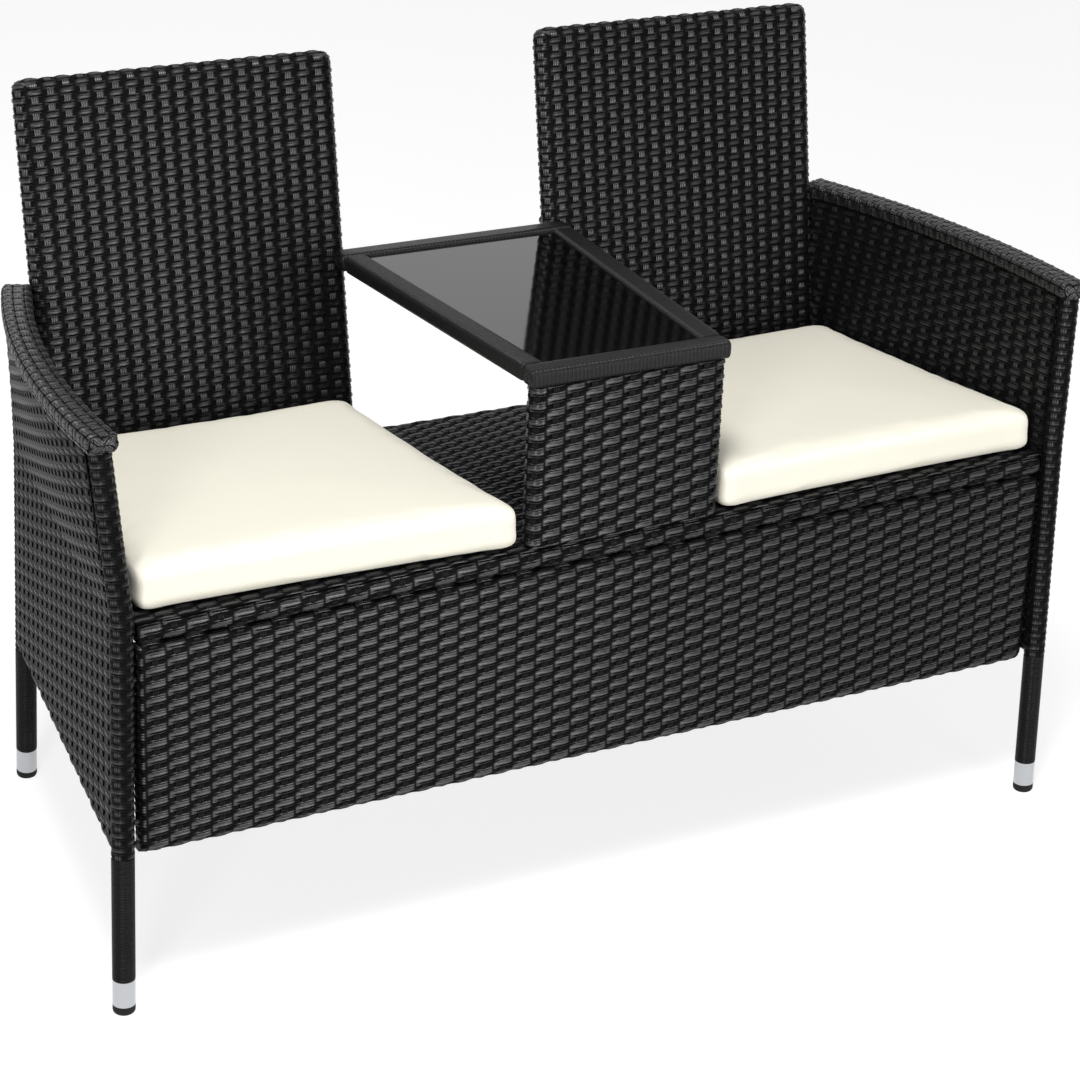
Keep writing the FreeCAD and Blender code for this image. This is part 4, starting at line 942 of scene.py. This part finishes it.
class BENCH_OT_cushions(bpy.types.Operator):
    """Swell the loose seat cushions by cloth simulation"""

    bl_idname = "bench.cushions"
    bl_label = "Seat cushions"

    def execute(self, context):
        for word, _ in SIDES:
            body = word + "_cushion"
            mesh = NODES[body + "_foam"].data.copy()
            bm = bmesh.new()
            bm.from_mesh(mesh)
            bmesh.ops.remove_doubles(bm, verts=bm.verts, dist=1e-5)
            bm.to_mesh(mesh)
            bm.free()
            cushion = bpy.data.objects.new(body, mesh)
            context.scene.collection.objects.link(cushion)
            grid = cushion.modifiers.new("voxels", "REMESH")
            grid.mode = "VOXEL"
            grid.voxel_size = CUSHION_GRID
            self.apply(context, cushion)
            self.swell(context, cushion)
            self.fill_corners(cushion)
            finer = cushion.modifiers.new("finer", "SUBSURF")
            finer.levels = 1
            finer.render_levels = 1
            cushion.data.polygons.foreach_set("use_smooth", [True] * len(cushion.data.polygons))
            cushion.data.materials.clear()
            cushion.data.materials.append(shared("cream_polyester_weave", fabric_material))
            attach(cushion, body)
            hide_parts(body + "_cover", body + "_foam")
        return {"FINISHED"}

    def apply(self, context, piece):
        """Make the evaluated mesh the piece's own, with no modifiers left."""
        graph = context.evaluated_depsgraph_get()
        made = bpy.data.meshes.new_from_object(piece.evaluated_get(graph))
        piece.modifiers.clear()
        piece.data = made

    def swell(self, context, cushion):
        """Inflate the cover, then cap how far each point moved."""
        before = mesh_points(cushion.data)
        cloth = cushion.modifiers.new("cloth", "CLOTH")
        settings = cloth.settings
        settings.use_pressure = True
        settings.uniform_pressure_force = sizes().fabric_pressure
        settings.effector_weights.gravity = 0
        for number in range(1, SWELL_FRAMES + 1):
            context.scene.frame_set(number)
        self.apply(context, cushion)
        context.scene.frame_set(1)
        moved = mesh_points(cushion.data) - before
        reach = np.linalg.norm(moved, axis=1, keepdims=True)
        moved *= np.minimum(1, SWELL_LIMIT / np.maximum(reach, TINY))
        # Nothing sinks into the seat, the flanks keep clear of arm and table, and the foot swells least.
        moved[:, 2] = np.maximum(moved[:, 2], 0)
        moved[:, :2] = np.clip(moved[:, :2], -SWELL_SIDEWAYS, SWELL_SIDEWAYS)
        share = np.clip((before[:, 2] - before[:, 2].min()) / SWELL_FULL_HEIGHT, 0, 1)
        moved *= (SWELL_AT_SEAT + (1 - SWELL_AT_SEAT) * share)[:, None]
        move_points(cushion.data, before + moved)

    def fill_corners(self, cushion):
        """Push the four upright corners out, where the foam fills the cover's tight corners."""
        points = mesh_points(cushion.data)
        plan = points[:, :2].copy()
        for diagonal in ((-1, -1), (1, -1), (1, 1), (-1, 1)):
            outward = np.array(diagonal) / math.sqrt(2)
            corner = plan[np.argmax(plan @ outward)]
            share = np.clip(1 - np.linalg.norm(plan - corner, axis=1) / CORNER_REACH, 0, 1)
            points[:, :2] += outward * (CORNER_FILL * share * share)[:, None]
        move_points(cushion.data, points)


class BENCH_OT_finishes(bpy.types.Operator):
    """Give the frame's own pieces their metal, rubber and glass finishes"""

    bl_idname = "bench.finishes"
    bl_label = "Metal, rubber and glass"

    def execute(self, context):
        c = colours()
        coat = shared("black_powder_coated_steel", coat_material)
        special = {
            "foot_sleeves": shared("polished_aluminium", aluminium_material),
            "foot_caps": rubber_material("moulded_black_rubber", c.rubber, 0.7),
            "glass_bumpers": rubber_material("moulded_silicone", c.silicone, 0.5),
            "table_glass": shared("black_tempered_glass", glass_material),
        }
        zinc = shared("black_zinc_plated_steel", zinc_material)
        for name, item in NODES.items():
            if item.hide_render:
                continue
            item.data.materials.clear()
            fastener = name.endswith("_bolts") or name == "bolt_washers"
            item.data.materials.append(special.get(name) or (zinc if fastener else coat))
        return {"FINISHED"}


def seen_by(tree, *rays):
    """A socket that is 1 for the given kinds of ray and 0 for the others."""
    path = node(tree, "ShaderNodeLightPath")
    seen = path.outputs[rays[0]]
    for name in rays[1:]:
        seen = maths(tree, "MAXIMUM", seen, path.outputs[name])
    return seen


class BENCH_OT_stage(bpy.types.Operator):
    """Set up the floor, the soft studio light and the camera"""

    bl_idname = "bench.stage"
    bl_label = "Studio stage"

    def execute(self, context):
        self.floor(context)
        self.world(context)
        self.lamps(context)
        self.camera(context)
        context.scene.view_settings.view_transform = "Standard"
        return {"FINISHED"}

    def floor(self, context):
        """Lay a wide pale floor, which keeps the bench's shadow."""
        bm = bmesh.new()
        bmesh.ops.create_grid(bm, x_segments=1, y_segments=1, size=FLOOR_HALF)
        mesh = bpy.data.meshes.new("studio_floor")
        bm.to_mesh(mesh)
        bm.free()
        floor = bpy.data.objects.new("studio_floor", mesh)
        context.scene.collection.objects.link(floor)
        material, tree, surface = new_material("white_studio_floor")
        put(surface, Base_Color=linear(colours().floor), Roughness=0.9, Emission_Color=WHITE)
        # The camera and reflections see the floor a little brighter, so that it reads as white.
        seen = seen_by(tree, "Is Camera Ray", "Is Glossy Ray")
        lift = maths(tree, "MULTIPLY", seen, FLOOR_LIFT)
        tree.links.new(lift, surface.inputs["Emission Strength"])
        floor.data.materials.append(material)

    def world(self, context):
        """Set a white background that lights the bench only faintly."""
        world = bpy.data.worlds.new("studio")
        context.scene.world = world
        world.use_nodes = True
        tree = world.node_tree
        back = tree.nodes["Background"]
        seen = seen_by(tree, "Is Camera Ray", "Is Glossy Ray", "Is Transmission Ray")
        tree.links.new(map_range(tree, seen, (0, 1), (WORLD_FILL, 1.0)), back.inputs["Strength"])
        put(back, Color=WHITE)

    def lamps(self, context):
        """Hang the softboxes."""
        for name, place, target, size, power in LAMPS:
            lamp = bpy.data.lights.new(name, "AREA")
            lamp.energy = power
            lamp.size = size
            item = bpy.data.objects.new(name, lamp)
            context.scene.collection.objects.link(item)
            item.location = place
            item.rotation_euler = (Vector(target) - Vector(place)).to_track_quat("-Z", "Y").to_euler()

    def camera(self, context):
        """Place the camera as the fitted view of the photograph has it."""
        level_reach = math.cos(CAMERA_PITCH)
        ahead = Vector((math.sin(CAMERA_YAW) * level_reach, math.cos(CAMERA_YAW) * level_reach,
                        -math.sin(CAMERA_PITCH)))
        level = Vector((math.cos(CAMERA_YAW), -math.sin(CAMERA_YAW), 0))
        upright = level.cross(ahead)
        right = level * math.cos(CAMERA_ROLL) + upright * math.sin(CAMERA_ROLL)
        up = upright * math.cos(CAMERA_ROLL) - level * math.sin(CAMERA_ROLL)
        lens = bpy.data.cameras.new("camera")
        lens.lens = CAMERA_LENS
        lens.sensor_width = CAMERA_SENSOR
        lens.clip_end = CAMERA_CLIP_END
        item = bpy.data.objects.new("camera", lens)
        context.scene.collection.objects.link(item)
        turn = Matrix((right, up, -ahead)).transposed().to_4x4()
        item.matrix_world = Matrix.Translation(CAMERA_PLACE) @ turn
        context.scene.camera = item


class BENCH_PT_panel(bpy.types.Panel):
    """Sidebar panel with the bench's sizes, colours and steps"""

    bl_idname = "BENCH_PT_panel"
    bl_label = "Garden bench"
    bl_space_type = "VIEW_3D"
    bl_region_type = "UI"
    bl_category = "Bench"

    def draw(self, context):
        for group in (context.scene.bench_sizes, context.scene.bench_colours):
            for name in group.__annotations__:
                self.layout.prop(group, name)
        for step in STEPS:
            self.layout.operator(step.bl_idname)


STEPS = (BENCH_OT_apron, BENCH_OT_sides, BENCH_OT_backrests, BENCH_OT_table_panel, BENCH_OT_seat,
         BENCH_OT_legs, BENCH_OT_arms, BENCH_OT_table_frame, BENCH_OT_cushions, BENCH_OT_finishes,
         BENCH_OT_stage)
CLASSES = (BenchSizes, BenchColours) + STEPS + (BENCH_PT_panel,)


def register():
    for item in CLASSES:
        bpy.utils.register_class(item)
    bpy.types.Scene.bench_sizes = bpy.props.PointerProperty(type=BenchSizes)
    bpy.types.Scene.bench_colours = bpy.props.PointerProperty(type=BenchColours)


def unregister():
    del bpy.types.Scene.bench_colours
    del bpy.types.Scene.bench_sizes
    for item in reversed(CLASSES):
        bpy.utils.unregister_class(item)


def main():
    register()
    for step in STEPS:
        getattr(bpy.ops.bench, step.bl_idname.split(".")[1])()


if __name__ == "__main__":
    main()
